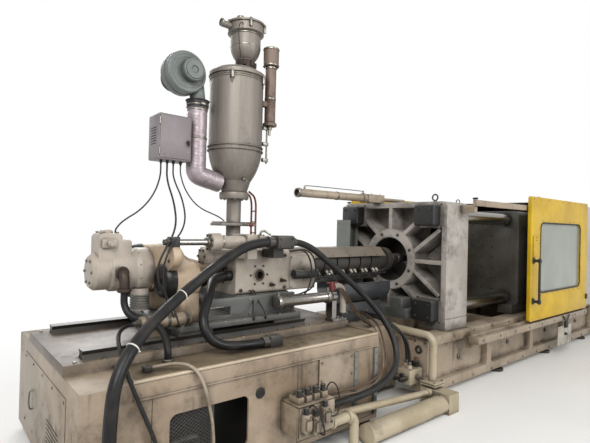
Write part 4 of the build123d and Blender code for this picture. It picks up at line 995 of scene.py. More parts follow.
def crosshead_details():
    """Bolts on the arms, legs and brackets, the rods' lock nuts and the caps' rings."""
    bolts = Piece("crosshead_bolts", OILY, "carriage")
    for side in SIDES:
        bolts.hexes([(-3.725, side * y, FLOOR_Z) for y in (0.2, 0.38)], UP, 0.011, 0.009)
        bolts.hexes([(ARM_REAR, side * CYLINDER_Y, SCREW_Z - side * drop) for drop in (0.16, 0.09)], BACK)
        rod_z = SCREW_Z - side * 0.219
        bolts.nosed((ARM_REAR, side * CYLINDER_Y, rod_z), BACK, 0.03, 0.026, 0.026, 6, 0.004)
        bolts.nosed((ARM_REAR - 0.026, side * CYLINDER_Y, rod_z), BACK, 0.021, 0.018, 0.018)
    bolts.done()
    Piece("hub_screws", ZINC, "carriage").screws(around((-3.54, 0, SCREW_Z), 0.135, 10), AHEAD).done()
    caps = Piece("pod_caps", HOSE, "carriage")
    dome = [(0, 0.07), (0, 0.096), (0.006, 0.108), (0.018, 0.118), (0.036, 0.123), (0.045, 0.1275)]
    dome += [(0.085, 0.1275), (0.085, 0.1252), (0.046, 0.1252), (0.046, 0.098), (0.006, 0.098), (0.006, 0.07)]
    for y, z in ((-0.29, 1.245), (0.29, 1.355)):
        caps.turned((-3.801, y, z), AHEAD, dome, 48, hollow=True)
        caps.nosed((-3.792, y, z), BACK, 0.018, 0.014, 0.014, 6)
    caps.done()


def motor_details():
    """Flange bolts, valve screws, ribs on the drain can, rusty pipe fittings and hose ends on the motor."""
    bolts = Piece("motor_bolts", ZINC, "carriage")
    bolts.hexes(around((-3.87, 0, SCREW_Z), 0.152, 10, 0, 0.3), BACK, 0.01, 0.01)
    bolts.screws(grid((-4.12, -4.02), (-0.07, 0.07), MOTOR_TOP), UP)
    bolts.screws(around((-4.19, 0, SCREW_Z), 0.085, 6), BACK, 0.009, 0.009)
    bolts.done()
    boss = Piece("motor_valve_boss", BLOCK, "carriage")
    dome = [(0, 0.048), (0.012, 0.046), (0.022, 0.034), (0.026, 0.02)]
    boss.turned((-4.085, -0.02, MOTOR_TOP), UP, dome, 28)
    boss.box((-4.135, -4.035), (-0.12, -0.095), (1.47, 1.53), 0.005)
    boss.fitting((-4.085, -0.12, 1.5), NEAR, 0.022, 0.03, 0.015, 0.05, 20, 0.004)
    boss.done()
    straps = Piece("oil_tube_straps", OILY, "carriage")
    for x in (-3.95, -3.8, -3.67):
        straps.collar((x, *OIL_TUBE), AHEAD, 0.0435, 0.0475, 0.02)
    straps.fitting((-3.9805, *OIL_TUBE), BACK, 0.026, 0.02, 0.018, 0.045)
    straps.done()
    ribs = Piece("drain_can_ribs", GREY, "carriage")
    for z in spread(1.03, 1.12, 6):
        ribs.collar((-3.848, -0.068, z), UP, 0.0635, 0.071, 0.008, 24)
    ribs.done()
    pipes = Piece("motor_pipes", RUST, "carriage")
    x, y = -4.02, -0.235
    pipes.wire([(x, -0.06, 1.3), (x, -0.205, 1.3), (x, y, 1.27), (x, y, 1.19)], 0.034, 16)
    pipes.collar((x, y, 1.2), DOWN, 0.02, 0.048, 0.026, 24)
    pipes.collar((x, -0.18, 1.3), NEAR, 0.02, 0.046, 0.022, 24)
    pipes.done()
    foot = (-3.86, -0.6)
    run = [(x, y, 1.17), (x, y, 1.08), (-3.99, -0.3, 1.01), (-3.9, -0.4, 1.0)]
    run += [(-3.85, -0.52, 0.94), (*foot, 0.84), (*foot, 0.785)]
    bend = ((-4.0, -0.25, 1.1), (foot[0], -0.58, 0.9))
    cable("motor_hose", run, 0.024, HOSE, bend=bend)
    Piece("motor_hose_gland", ZINC).collar((*foot, 0.763), UP, 0.016, 0.034, 0.024, 20).done()


def terminal_box():
    """Box beside the barrel's root, with its lid, a large round cable connector and two looped cables."""
    rear = -2.6395
    box = Piece("terminal_box", BLOCK, "carriage")
    box.box((rear, -2.335), (-0.298, -0.215), (1.1, 1.405), 0.005)
    box.box((-2.628, -2.345), (-0.303, -0.296), (1.11, 1.395))
    box.box((rear, -2.6), (-0.215, -0.15), (1.15, 1.4))
    box.done()
    screws = Piece("terminal_screws", ZINC, "carriage")
    screws.hexes(grid((-2.615, -2.358), -0.303, (1.123, 1.382)), NEAR, 0.006, 0.005).done()
    plug = Piece("round_connector", BLACK, "carriage")
    parts = [(0, 0.036), (0.006, 0.041), (0.07, 0.041), (0.074, 0.037), (0.1, 0.037), (0.104, 0.043)]
    parts += [(0.2, 0.043), (0.204, 0.039), (0.262, 0.039), (0.27, 0.034)]
    plug.turned((-2.625, -0.348, 1.238), AHEAD, parts, 32)
    for x in (-2.58, -2.4):
        plug.box(about(x, 0.012), (-0.33, -0.3), (1.205, 1.271), 0.003)
    plug.done()
    for i, name in enumerate(("box_loop_a", "box_loop_b")):
        far = 0.05 * i
        low = 1.03 + 0.035 * i
        run = [(rear, -0.27 + far, 1.428), (-2.59, -0.27 + far, 1.43), (-2.54 + far, -0.36, 1.455)]
        run += [(-2.5 + far, -0.415, 1.38), (-2.48 + far, -0.42, 1.25), (-2.5 + far, -0.41, 1.12)]
        run += [(-2.55, -0.375, low + 0.01), (-2.6, -0.365, low), (rear, -0.365, low)]
        cable(name, run, 0.007, SEAL)


def heater_details():
    """Clamp ears, bolts, ceramic terminals and wires under the barrel's heater bands."""
    ears = Piece("heater_ears", OILY, "carriage")
    ceramics = Piece("heater_terminals", CERAMIC, "carriage")
    wires = Piece("heater_wires", SEAL, "carriage")
    dark = Piece("heater_straps", OILY, "carriage")
    for i in range(BANDS):
        x0 = BAND_X + i * BAND_PITCH
        middle = x0 + 0.075
        for x in (x0 + 0.012, x0 + 0.128):
            dark.collar((x, 0, SCREW_Z), AHEAD, 0.1215, 0.1245, 0.012, 40)
        ears.box((x0 + 0.02, x0 + 0.13), about(0, 0.012), (1.15, 1.181))
        ears.hexes(grid((x0 + 0.04, x0 + 0.11), -0.012, 1.165), NEAR, 0.007, 0.007)
        for x in about(middle, 0.028):
            ceramics.fitting((x, -0.085, 1.212), (0, -0.72, -0.69), 0.014, 0.018, 0.01, 0.04, 10, 0.004)
        for x, over, y, z, end in ((-0.028, -0.01, -0.135, 1.16, 0.07), (0.028, 0.04, -0.14, 1.175, 0.11)):
            start = (middle + x, -0.112, 1.186)
            wires.wire([start, (middle + over, y, z), (middle + end, -0.13, 1.165)], 0.003, 6)
    wires.wire([(BAND_X + 0.02, -0.125, 1.165), (-1.9, -0.135, 1.16), (-1.12, -0.125, 1.168)], 0.006)
    dark.box((-2.56, -1.15), about(0, 0.03), (1.1, 1.16), 0.003)
    for x in spread(-2.47, -1.27, 8):
        dark.box(about(x, 0.008), about(0, 0.034), (1.096, 1.18))
        drop = ((0.01, -0.105, 1.19), (0.03, -0.12, 1.15), (0.04, -0.06, 1.125), (0.05, -0.03, 1.14))
        wires.wire([(x + far, y, z) for far, y, z in drop], 0.004, 6)
    for x, outer in ((-0.99, 0.0905), (-0.9, 0.062), (-0.8, 0.062)):
        dark.collar((x, 0, SCREW_Z), AHEAD, 0.04, outer, 0.06)
    finish_all(ears, ceramics, wires, dark)


def hood_details():
    """Straps and screws on the barrel's folded hood."""
    straps = Piece("hood_straps", HOOD, "carriage")
    screws = Piece("hood_screws", ZINC, "carriage")
    foot, top, high = 0.165, 0.085, 0.145
    line = [(-foot - 0.0015, SCREW_Z + 0.056), (-top - 0.001, SCREW_Z + high + 0.0015)]
    line += [(-y, z) for y, z in line[::-1]]
    inner = [(y * 0.985, z - 0.003) for y, z in line]
    for x in (-2.2, -1.72, -1.3):
        straps.prism(line + inner[::-1], 0, about(x, 0.018))
    for x in (-2.5, -2.2, -1.96, -1.72, -1.5, -1.3, -1.19):
        for side in SIDES:
            screws.hexes([(x, side * 0.152, SCREW_Z + 0.071)], (0, side * 0.747, 0.664), 0.007, 0.005)
    screws.hexes(grid((-2.5, -2.0, -1.5, -1.19), 0, SCREW_Z + high), UP, 0.007, 0.005)
    finish_all(straps, screws)


# Dryer

def dryer_details():
    """Beads, seam, toggle clamps, latch and socket on the drying hopper, and the loader's rusty neck."""
    bands = Piece("dryer_bands", STEEL, "carriage")
    for z, grow in ((2.272, 0.012), (2.305, 0.01), (2.868, 0.005), (2.885, 0.005)):
        bands.collar((HOPPER_X, 0, z), UP, 0.222, 0.228 + grow, 0.009, 64)
    bands.collar((HOPPER_X, 0, 2.933), UP, 0.205, 0.222, 0.01, 64)
    bands.box((HOPPER_X + 0.216, HOPPER_X + 0.231), about(0, 0.01), (2.31, 2.86), 0.001)
    bands.done()
    toggles = Piece("dryer_toggles", ZINC, "carriage")
    for turn in (-2.3, -0.9, 0.6, 2.2):
        x, y = HOPPER_X + 0.236 * cos(turn), 0.236 * sin(turn)
        toggles.box(about(x, 0.014), about(y, 0.014), (2.845, 2.915), 0.004)
        toggles.turned((x, y, 2.845), DOWN, [(0, 0.006), (0.035, 0.005)], 8)
    for z in (2.22, 2.36, 2.5):
        toggles.box((HOPPER_X + 0.205, HOPPER_X + 0.262), (-0.125, -0.095), about(z, 0.016), 0.003)
    toggles.rod((HOPPER_X + 0.25, -0.11, 2.19), UP, 0.008, 0.33)
    toggles.fitting((HOPPER_X - 0.02, -0.16, 2.03), (0, -1, -0.3), 0.014, 0.03, 0.009, 0.06, 10, 0.004)
    toggles.done()
    neck = Piece("loader_neck_rust", RUST, "carriage")
    neck.collar((LOADER_X, 0, 2.985), UP, 0.081, 0.0845, 0.088, 40)
    for turn in spread(-3.0, 0.2, 5):
        x, y = LOADER_X + 0.085 * cos(turn), 0.085 * sin(turn)
        neck.box(about(x, 0.012), about(y, 0.012), (3.02, 3.065), 0.003)
    neck.done()


def loader_details():
    """Beads, clamps, hose ends and a cable on the vacuum loader."""
    bits = Piece("loader_bands", ZINC, "carriage")
    bits.collar((LOADER_X, 0, 3.286), UP, 0.128, 0.138, 0.008, 48)
    bits.collar((LOADER_X, 0, 3.186), UP, 0.128, 0.133, 0.006, 48)
    for turn in (-1.9, -0.7, 0.5, 1.9, 3.1):
        x, y = LOADER_X + 0.163 * cos(turn), 0.163 * sin(turn)
        bits.box(about(x, 0.011), about(y, 0.011), (3.325, 3.398), 0.003)
    bits.collar((LOADER_X - 0.235, 0, 3.349), BACK, 0.027, 0.034, 0.014, 24)
    bits.collar((LOADER_X - 0.055, 0, 3.43), UP, 0.031, 0.037, 0.014, 24)
    bits.done()
    run = [(-0.1, -0.11, 3.34), (-0.13, -0.145, 3.34), (-0.17, -0.15, 3.3)]
    run += [(-0.16, -0.145, 3.18), (-0.13, -0.13, 3.05), (-0.1, -0.1, 2.96)]
    cable("loader_cable", [(LOADER_X + x, y, z) for x, y, z in run], 0.004, SEAL)


def blower_details():
    """Rings, rim screws and intake on the fan housing, the motor behind it and the duct's clamps."""
    rings = Piece("blower_rings", BLOWER, "carriage")
    for radius in (0.118, 0.146):
        rings.collar((BLOWER_X, -0.0745, BLOWER_Z), NEAR, radius - 0.007, radius + 0.007, 0.003, 48)
    rings.collar((BLOWER_X, -0.006, BLOWER_Z), FAR, 0.16, 0.171, 0.012, 56)
    rings.collar((BLOWER_X + 0.028, -0.137, BLOWER_Z + 0.008), NEAR, 0.03, 0.07, 0.006, 40)
    rings.nosed((BLOWER_X, 0.074, BLOWER_Z), FAR, 0.085, 0.18, 0.07, 32, 0.01)
    for y in spread(0.095, 0.215, 9):
        rings.collar((BLOWER_X, y, BLOWER_Z), FAR, 0.084, 0.098, 0.004)
    rings.box(about(BLOWER_X, 0.05), (0.1, 0.19), (BLOWER_Z + 0.09, BLOWER_Z + 0.135), 0.004)
    rings.done()
    clamp = Piece("duct_clamps", SEAL, "carriage")
    clamp.collar((DUCT_X, 0, 2.584), UP, 0.08, 0.09, 0.054, 48)
    clamp.collar((DUCT_X, 0, 2.636), UP, 0.06, 0.097, 0.008, 48)
    clamp.done()
    straps = Piece("duct_straps", ZINC, "carriage")
    for z, outer in ((2.6, 0.0915), (2.56, 0.084), (2.335, 0.084)):
        straps.collar((DUCT_X, 0, z), UP, 0.08, outer, 0.01, 48)
    straps.box(about(DUCT_X, 0.02), (-0.102, -0.088), (2.596, 2.614), 0.003)
    straps.done()


def foil_duct():
    """The wrapped duct, with its wrinkles, in place of the plain one."""
    route = [(DUCT_X, 0, 2.58), (DUCT_X, 0, 2.16), (DUCT_X, 0, 2.05)]
    places = smooth([*route, (DUCT_X + 0.09, 0, 2.025), (HOPPER_X - 0.15, 0, 1.998)])
    closer = []
    for start, end in zip(places, places[1:]):
        steps = max(1, round((end - start).length / 0.008))
        closer += [start.lerp(end, i / steps) for i in range(steps)]
    closer.append(places[-1])
    shape = bmesh.new()
    count = 40
    sweep(shape, closer, 0.081, count)
    for i, vert in enumerate(shape.verts):
        ring = i // count
        turn = 2 * pi * (i % count) / count
        fold = 0.40 * sin(ring * 1.9 + 2.2 * sin(turn * 2)) + 0.35 * sin(turn * 6 + 2.0 * sin(ring * 0.5))
        fold += 0.25 * sin(ring * 0.77 - turn * 4)
        middle = closer[ring]
        vert.co = middle + (vert.co - middle) * (0.979 + 0.021 * fold)
    mesh = mesh_of(shape, "foil_duct")
    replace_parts(settle(mesh, "foil_duct", "carriage", FOIL, 80), "blower_duct")


def control_box_details():
    """Door, hinges, latch, vents and glands of the dryer's cabinet, and the cables that hang from it."""
    x = (-3.75, -3.485)
    z = (2.13, 2.475)
    front = -0.101
    gland_y = -0.03
    door = Piece("box_door", CABINET, "carriage")
    door.box((x[0] + 0.01, x[1] - 0.01), (front, -0.094), (z[0] + 0.012, z[1] - 0.012)).done()
    bits = Piece("box_fittings", ZINC, "carriage")
    for height in (z[0] + 0.06, z[1] - 0.06):
        bits.rod((x[0] + 0.006, -0.102, height - 0.025), UP, 0.006, 0.05)
    bits.hexes([(x[0] + 0.05, front, 2.165), (x[1] - 0.03, front, 2.2)], NEAR, 0.006, 0.004)
    bits.done()
    glands = Piece("box_glands", SEAL, "carriage")
    glands.nosed((x[1] - 0.03, front, 2.275), NEAR, 0.014, 0.014, 0.01, 16)
    glands.box(about(x[1] - 0.03, 0.006), (-0.122, -0.113), (2.245, 2.282))
    for far in (0.05, 0.1, 0.15, 0.21):
        glands.fitting((x[0] + far, gland_y, z[0]), DOWN, 0.012, 0.018, 0.008, 0.03, 8, 0.004)
    for height in spread(2.25, 2.37, 7):
        glands.box((x[0] - 0.001, x[0] + 0.002), (-0.05, 0.05), about(height, 0.004), 0.0005)
    glands.done()
    top = z[0] - 0.03
    run = [(-3.7, gland_y, 2.0), (-3.76, -0.06, 1.86), (-3.86, -0.07, 1.74)]
    run += [(-3.98, -0.05, 1.66), (-4.03, -0.05, 1.6), (-4.03, -0.05, 1.572)]
    cable("box_cable_a", [(-3.7, gland_y, top), *run], 0.006, SEAL)
    run = [(-3.65, gland_y, 1.98), (-3.66, -0.2, 1.8), (-3.72, -0.38, 1.62), (-3.83, -0.44, 1.47)]
    run += [(-3.88, -0.44, 1.36), (-3.87, -0.44, 1.25), (-3.81, -0.44, 1.15), (-3.76, -0.45, 1.08)]
    run += [(-3.74, -0.468, 1.0), (-3.722, -0.46, 0.96)]
    cable("box_cable_b", [(-3.65, gland_y, top), *run], 0.007, SEAL)
    run = [(-3.6, gland_y, 2.0), (-3.6, -0.22, 1.82), (-3.66, -0.4, 1.64), (-3.79, -0.455, 1.5)]
    run += [(-3.845, -0.46, 1.38), (-3.845, -0.46, 1.24), (-3.8, -0.465, 1.1), (-3.755, -0.462, 1.0)]
    cable("box_cable_d", [(-3.6, gland_y, top), *run, (-3.722, -0.43, 0.935)], 0.006, SEAL)
    run = [(-3.54, gland_y, 2.03), (-3.5, -0.05, 1.9), (-3.4, -0.07, 1.78)]
    run += [(-3.24, -0.09, 1.72), (-3.18, -0.06, 1.7), (-3.13, -0.05, 1.665)]
    cable("box_cable_c", [(-3.54, gland_y, top), *run], 0.005, SEAL)


def throat_pipe_details():
    """Flange bolts, slide plate with its knob, and the copper ladder beside the feed pipe."""
    bolts = Piece("feed_bolts", ZINC, "carriage")
    bolts.hexes(around((HOPPER_X, 0, 1.55), 0.088, 6, 2), UP, 0.009)
    bolts.hexes(around((HOPPER_X, 0, 1.87), 0.108, 8, 2, 0.3), DOWN, 0.009)
    for x in about(HOPPER_X, 0.145):
        bolts.box(about(x, 0.012), (-0.095, 0.095), (1.664, 1.676))
    bolts.rod((HOPPER_X + 0.05, -0.095, 1.652), NEAR, 0.007, 0.09)
    bolts.done()
    ball = [(0.16 + 0.016 - 0.016 * cos(t), 0.004 + 0.015 * sin(t)) for t in spread(0.1, 3.0, 8)]
    Piece("slide_knob", RED, "carriage").turned((HOPPER_X + 0.05, -0.02, 1.652), NEAR, ball, 16).done()
    ladder = Piece("copper_pipes", COPPER, "carriage")
    x = HOPPER_X + 0.3
    for y in (0.1, 0.17):
        upright = [(x, y, 1.5), (x, y, 1.7), (x, y, 1.9)]
        ladder.wire([(x - 0.05, y, 1.452), *upright, (x - 0.1, y * 0.7, 1.95)], 0.009, 10)
    for z in (1.58, 1.68, 1.78):
        ladder.rod((x, 0.09, z), FAR, 0.006, 0.09, 8)
    ladder.done()


def return_pipe_details():
    """Bands, flange bolts and drain fittings of the return pipe and its filter."""
    x, y = RETURN_X, RETURN_Y
    bands = Piece("return_bands", ZINC, "carriage")
    for z in (3.045, 3.185):
        bands.collar((x, y, z), UP, 0.066, 0.072, 0.01)
    for z, outer in ((2.75, 0.051), (3.02, 0.053)):
        bands.collar((x, y, z), UP, 0.047, outer, 0.012)
    bands.hexes(around((x, y, 2.542), 0.055, 6, 2), UP, 0.0045, 0.005)
    bands.fitting((x, y, 2.52), DOWN, 0.022, 0.03, 0.012, 0.08, 12, 0.004)
    bands.done()


# Platens, tie bars and what sits on them

def hub_details():
    """A dark skin that paints the greasy bore's shade, a ring on the platen's hub, its cap screws, keeper
    screws by the nuts, and lifting eyes.
    """
    liner = [(0, 0.2488), (0, 0.244), (0.325, 0.244), (0.325, 0.085), (0.3288, 0.085), (0.3288, 0.2488)]
    # Dark skin over the bore: grease and painted shade.
    hub = Piece("hub_bore_shade", SHADOW_BORE)
    hub.turned((PLATEN_REAR - 0.001, 0, SCREW_Z), AHEAD, liner, 96, hollow=True).done()
    rim = [(0, 0.256), (0, 0.34), (0.004, 0.344), (0.0065, 0.344), (0.0065, 0.25), (0.004, 0.25)]
    rim_start = (PLATEN_REAR - 0.006, 0, SCREW_Z)
    Piece("hub_ring", PLATEN).turned(rim_start, AHEAD, rim, 96, hollow=True).done()
    screws = Piece("platen_screws", OILY)
    screws.screws(around(rim_start, 0.3, 8, 0, 0.39), BACK, 0.014)
    for y in (-TIE_Y, TIE_Y):
        for z in (SCREW_Z - TIE_Z, SCREW_Z + TIE_Z):
            for x, wide, tall, radius in ((0, 0.135, 0.118, 0.009), (0.125, 0.075, 0.065, 0.012)):
                screws.screws(grid(PLATEN_REAR - x, about(y, wide), about(z, tall)), BACK, radius, 0.009)
    screws.done()
    eyes = Piece("lifting_eyes", OILY)
    for y in (-0.45, 0.52):
        eyes.eye((-0.69, y, 1.95), 0.032, 0.034, 0.009)
    eyes.done()


def mould_holes():
    """Tapped holes in the faces that clamp the mould's halves."""
    holes = Piece("mould_holes", SHADOW)
    for face, along in ((-0.48, AHEAD), (0.82, BACK)):
        for y in spread(-0.35, 0.35, 6):
            for z in spread(-0.42, 0.42, 7):
                holes.collar((face, y, SCREW_Z + z), along, 0.006, 0.013, 0.0012, 14)
    holes.done()


def grease_lines():
    """Thin pipes from a distributor block across the platen's rear to its bosses."""
    lines = Piece("grease_lines", COPPER)
    lines.box((-0.93, -0.9), (0.6, 0.7), (1.24, 1.3), 0.003)
    for y, z, leave in ((0.6, 1.56, 1.3), (0.64, 1.05, 1.24)):
        start = [(-0.915, 0.65, 1.27), (-0.94, 0.65, leave)]
        lines.wire([*start, (-0.935, y, (z + 1.27) / 2), (-0.91, y, z)], 0.004, 6)
    lines.done()


def guard_plate():
    """Grey sheet guard that stands on the platen's rear, beyond the barrel."""
    plate = Piece("guard_plate", GREY)
    for x0, x1, y0 in ((-1.2, -1.196, 0.35), (-1.196, -0.9, 0.566), (-0.906, -0.9, 0.5)):
        plate.box((x0, x1), (y0, 0.57), (1.37, 1.74), 0.001)
    plate.done()
    screws = Piece("guard_screws", ZINC)
    screws.hexes(grid(-1.2, (0.38, 0.54), (1.41, 1.7)), BACK, 0.007, 0.006).done()


def top_cylinder_details():
    """End rings, port fittings, clamp screws and a bent pipe on the cylinder above the platen."""
    bits = Piece("top_cylinder_bits", ZINC)
    y, z = 0.2, 1.995
    bits.collar((-2.156, y, z), AHEAD, 0.034, 0.05, 0.03)
    bits.collar((-1.6, y, z), AHEAD, 0.042, 0.047, 0.02)
    bits.hexes(grid((-1.06, -0.9), about(y, 0.042), z + 0.048), UP, 0.009)
    for x, rise in ((-1.15, 0.052), (-2.05, 0.042)):
        bits.fitting((x, y, z + rise), UP, 0.014, 0.02, 0.009, 0.035)
    pipe = [(-2.05, 2.06), (-2.05, 2.072), (-1.98, 2.075), (-1.22, 2.075), (-1.15, 2.072), (-1.15, 2.07)]
    bits.wire([(x, y, z) for x, z in pipe], 0.005)
    bits.done()


# Gate, rails and clamp end

def gate_details():
    """Seals and rivets on both gates, and the near one's latch plate, handle brackets and rollers."""
    x, z = (0.815, 2.14), (0.905, 1.76)
    inner = round_frame((x[0] + 0.004, x[1] - 0.004), (z[0] + 0.004, z[1] - 0.004), 0.068)
    outer = round_frame((x[0] - 0.014, x[1] + 0.014), (z[0] - 0.014, z[1] + 0.014), 0.084)
    places = [(x, z) for x in spread(0.86, 2.09, 8) for z in (0.87, 1.795)]
    places += [(x, z) for x in (0.78, 2.175) for z in spread(0.97, 1.7, 5)]
    places += [(x, z) for x in spread(0.6, 2.37, 9) for z in (0.6, 2.05)]
    for body, shift, name, side in (("gate", 0.0, "gate", 1), ("root", -1.07, "far_gate", -1)):
        seal = Piece(name + "_seal", SEAL, body)
        for lips in ((-0.976, -0.97), (-0.93, -0.924)):
            y = sorted(side * value for value in lips)
            seal.prism([(x + shift, z) for x, z in outer], 1, y, [(x + shift, z) for x, z in inner])
        rivets = Piece(name + "_rivets", ZINC, body)
        rivets.hexes([(x + shift, side * GATE_FACE, z) for x, z in places], (0, -side, 0), 0.006, 0.004)
        finish_all(seal, rivets)
    latch = Piece("gate_latch_plate", YELLOW, "gate")
    latch.box((0.588, 0.702), (-0.985, -0.971), (1.348, 1.602), 0.003).done()
    black = Piece("gate_brackets", BLACK, "gate")
    for z in (1.55, 1.585):
        black.box((0.655, 0.685), (-0.9862, -0.984), about(z, 0.005), 0.0008)
    for z in (0.816, 1.305):
        black.box((0.583, 0.637), (-0.986, GATE_FACE), about(z, 0.035), 0.003)
        black.collar((0.61, -1.047, z - 0.022), UP, 0.0142, 0.022, 0.044, 20)
    black.box((2.375, 2.425), (-0.99, GATE_FACE), (0.7, 0.77), 0.004)
    roller = [(0, 0.01), (0.006, 0.01), (0.008, 0.022), (0.034, 0.022), (0.036, 0.014)]
    for x in (0.79, 2.18):
        black.turned((x, -0.921, 1.876), FAR, roller, 24)
    black.done()


def rail_details():
    """Bolts, end stops and a limit switch with its lever on the gate's rails and sill."""
    bolts = Piece("rail_bolts", ZINC)
    bolts.hexes(grid(spread(-0.55, 2.38, 9), -0.97, 0.508), NEAR)
    bolts.hexes(grid(spread(-0.5, 2.35, 8), -0.875, 1.94), FAR, 0.008, 0.006)
    bolts.mirrored().done()
    stops = Piece("rail_stops", SEAL)
    for x in (-0.645, 2.465):
        stops.box(about(x, 0.014), (-0.925, -0.875), (1.975, 1.995), 0.004)
    stops.mirrored().done()
    middle, face = 1.65, -0.968
    switch = Piece("gate_switch", CERAMIC)
    switch.box((1.42, 1.88), (face, -0.96), (0.15, 0.4), 0.003)
    switch.box((1.6, 1.7), (-0.966, -0.962), (0.395, 0.472), 0.001)
    switch.done()
    lever = Piece("gate_switch_lever", BLACK)
    lever.box((1.61, 1.69), (-0.998, face), (0.375, 0.455), 0.003)
    strap = ((0.02, 0.455), (0.05, 0.49), (0.11, 0.54))
    for side in SIDES:
        lever.wire([(middle + side * x, -0.985, z) for x, z in strap], 0.008)
    lever.fitting((middle, face, 0.29), NEAR, 0.02, 0.012, 0.014, 0.03, 20)
    lever.done()


def clamp_bed_details():
    """Bolts on the clamp bed's flanges, drain plugs in its bays and the port on its end."""
    bolts = Piece("clamp_bed_bolts", ZINC)
    bolts.hexes(grid(spread(-1.24, 4.4, 15), -0.8, (0.085, 0.575)), NEAR, 0.011, 0.009)
    plug = [(0, 0.03), (0.01, 0.03), (0.014, 0.02), (0.026, 0.018)]
    for x in spread(-0.62, 3.82, 5):
        bolts.turned((x, -0.73, 0.3), NEAR, plug, 6)
    bolts.mirrored().done()
    ends = grid(CLAMP_BED_X, (-0.77, -0.65, 0.65, 0.77), (0.12, 0.55))
    Piece("clamp_bed_end_bolts", ZINC).hexes(ends, BACK, 0.011, 0.009).done()
    port = Piece("clamp_bed_port", OILY)
    port.collar((CLAMP_BED_X - 0.01, -0.7, 0.47), AHEAD, 0.022, 0.04, 0.012, 24).done()


def cover_details():
    """Panel seams, louvres, handles, screws, lifting eyes and the end doors of the clamp unit's cover."""
    wall = -0.86
    seams = Piece("cover_seams", SHADOW)
    for x in (2.12, 2.9, 3.68):
        seams.box(about(x, 0.002), (wall - 0.0006, wall + 0.004), (0.605, 1.995), HAIR)
        seams.box(about(x, 0.002), (-0.8, 0.0), (2.056, 2.0606), HAIR)
    # The dark strips under each louvre slat are painted shade.
    louvre_x = (3.8, 4.3)
    for z in spread(1.55, 1.85, 11):
        seams.box(louvre_x, (wall - 0.0008, wall + 0.002), about(z, 0.004), HAIR)
    seams.mirrored().done()
    slats = Piece("cover_louvres", COVER)
    for z in spread(1.565, 1.865, 11):
        lip = wall - 0.012
        slats.prism([(wall, z), (lip, z - 0.012), (lip, z - 0.009), (wall, z + 0.004)], 0, louvre_x)
    for x in ((2.2, 2.82), (2.98, 3.6)):
        slats.box(x, (wall - 0.003, wall + 0.002), (0.7, 1.95), 0.001)
    slats.mirrored().done()
    grips = Piece("cover_grips", OILY)
    for x in (2.26, 3.04, 3.86):
        y = wall - 0.045
        grips.wire([(x, wall, 1.42), (x, y, 1.42), (x, y, 1.24), (x, wall, 1.24)], 0.007)
    for x in (1.6, 4.2):
        grips.eye((x, -0.62, 2.06), 0.03, 0.03, 0.008)
    grips.mirrored().done()
    screws = Piece("cover_screws", ZINC)
    screws.hexes(grid(spread(1.4, 4.38, 14), wall, (0.64, 1.985)), NEAR, 0.007, 0.005)
    screws.mirrored().done()
    face = 4.436
    end = Piece("cover_end_doors", COVER)
    for y in ((-0.78, -0.012), (0.012, 0.78)):
        end.box((4.428, face), y, (0.72, 1.94))
    end.done()
    fittings = Piece("cover_end_fittings", OILY)
    for y in (-0.74, 0.74):
        for z in (0.9, 1.33, 1.76):
            fittings.rod((4.437, y * 1.06, z - 0.04), UP, 0.009, 0.08, 12)
    out = 4.448
    for y in (-0.08, 0.08):
        fittings.wire([(face, y, 1.45), (out, y, 1.45), (out, y, 1.25), (face, y, 1.25)], 0.006)
    fittings.done()


# Trough, pipes, valve and hoses

def trough_details():
    """Rolled rims on the trough and bolts on its pedestal."""
    rims = Piece("trough_rims", TROUGH)
    for y in (-0.197, 0.197):
        rims.rod((TROUGH_X[0], y, 1.08), AHEAD, 0.007, TROUGH_X[1] - TROUGH_X[0])
    rims.done()
    bolt_places = grid((-1.72, -1.41, -1.25), -0.12, 0.777)
    Piece("trough_bolts", ZINC).hexes(bolt_places, NEAR, 0.012, 0.009).done()


def shift_details():
    """Bolts on the rods' posts, the red valve above the near one and its bent pipes."""
    bolts = Piece("shift_bolts", ZINC)
    bolts.hexes(grid((-2.205, -2.145), (-0.465, -0.415), 0.838), UP, 0.009)
    bolts.nosed((-2.228, -SHIFT_Y, SHIFT_Z), AHEAD, 0.03, 0.028, 0.025, 6, 0.004)
    bolts.mirrored().done()
    valve = Piece("red_valve", RED)
    body = [(0, 0.02), (0.02, 0.024), (0.06, 0.024), (0.075, 0.014)]
    valve.turned((-2.254, -SHIFT_Y, 1.083), UP, body, 20)
    valve.box((-2.32, -2.19), (-0.448, -0.432), (1.15, 1.162), 0.003)
    valve.done()
    foot = (-2.12, -0.452)
    elbow = [(-2.232, -SHIFT_Y, 1.12), (-2.17, -0.445, 1.125), (-2.13, -0.45, 1.09), (*foot, 1.0)]
    Piece("pale_elbow", BLOCK).wire([*elbow, (*foot, 0.88)], 0.028, 16).done()
    thin = Piece("thin_brown_pipes", SHEATH)
    for shift in (0.0, 0.022, 0.044):
        bend = [(-2.215 + shift, -0.492, 1.1), (-2.17 + shift, -0.5, 1.05), (-2.09 + shift, -0.498, 0.95)]
        bend += [(-1.98 + shift, -0.47, 0.865), (-1.8, -0.43 + shift, 0.76), (-1.62, -0.4 + shift, 0.684)]
        thin.wire(bend, 0.006)
    thin.done()


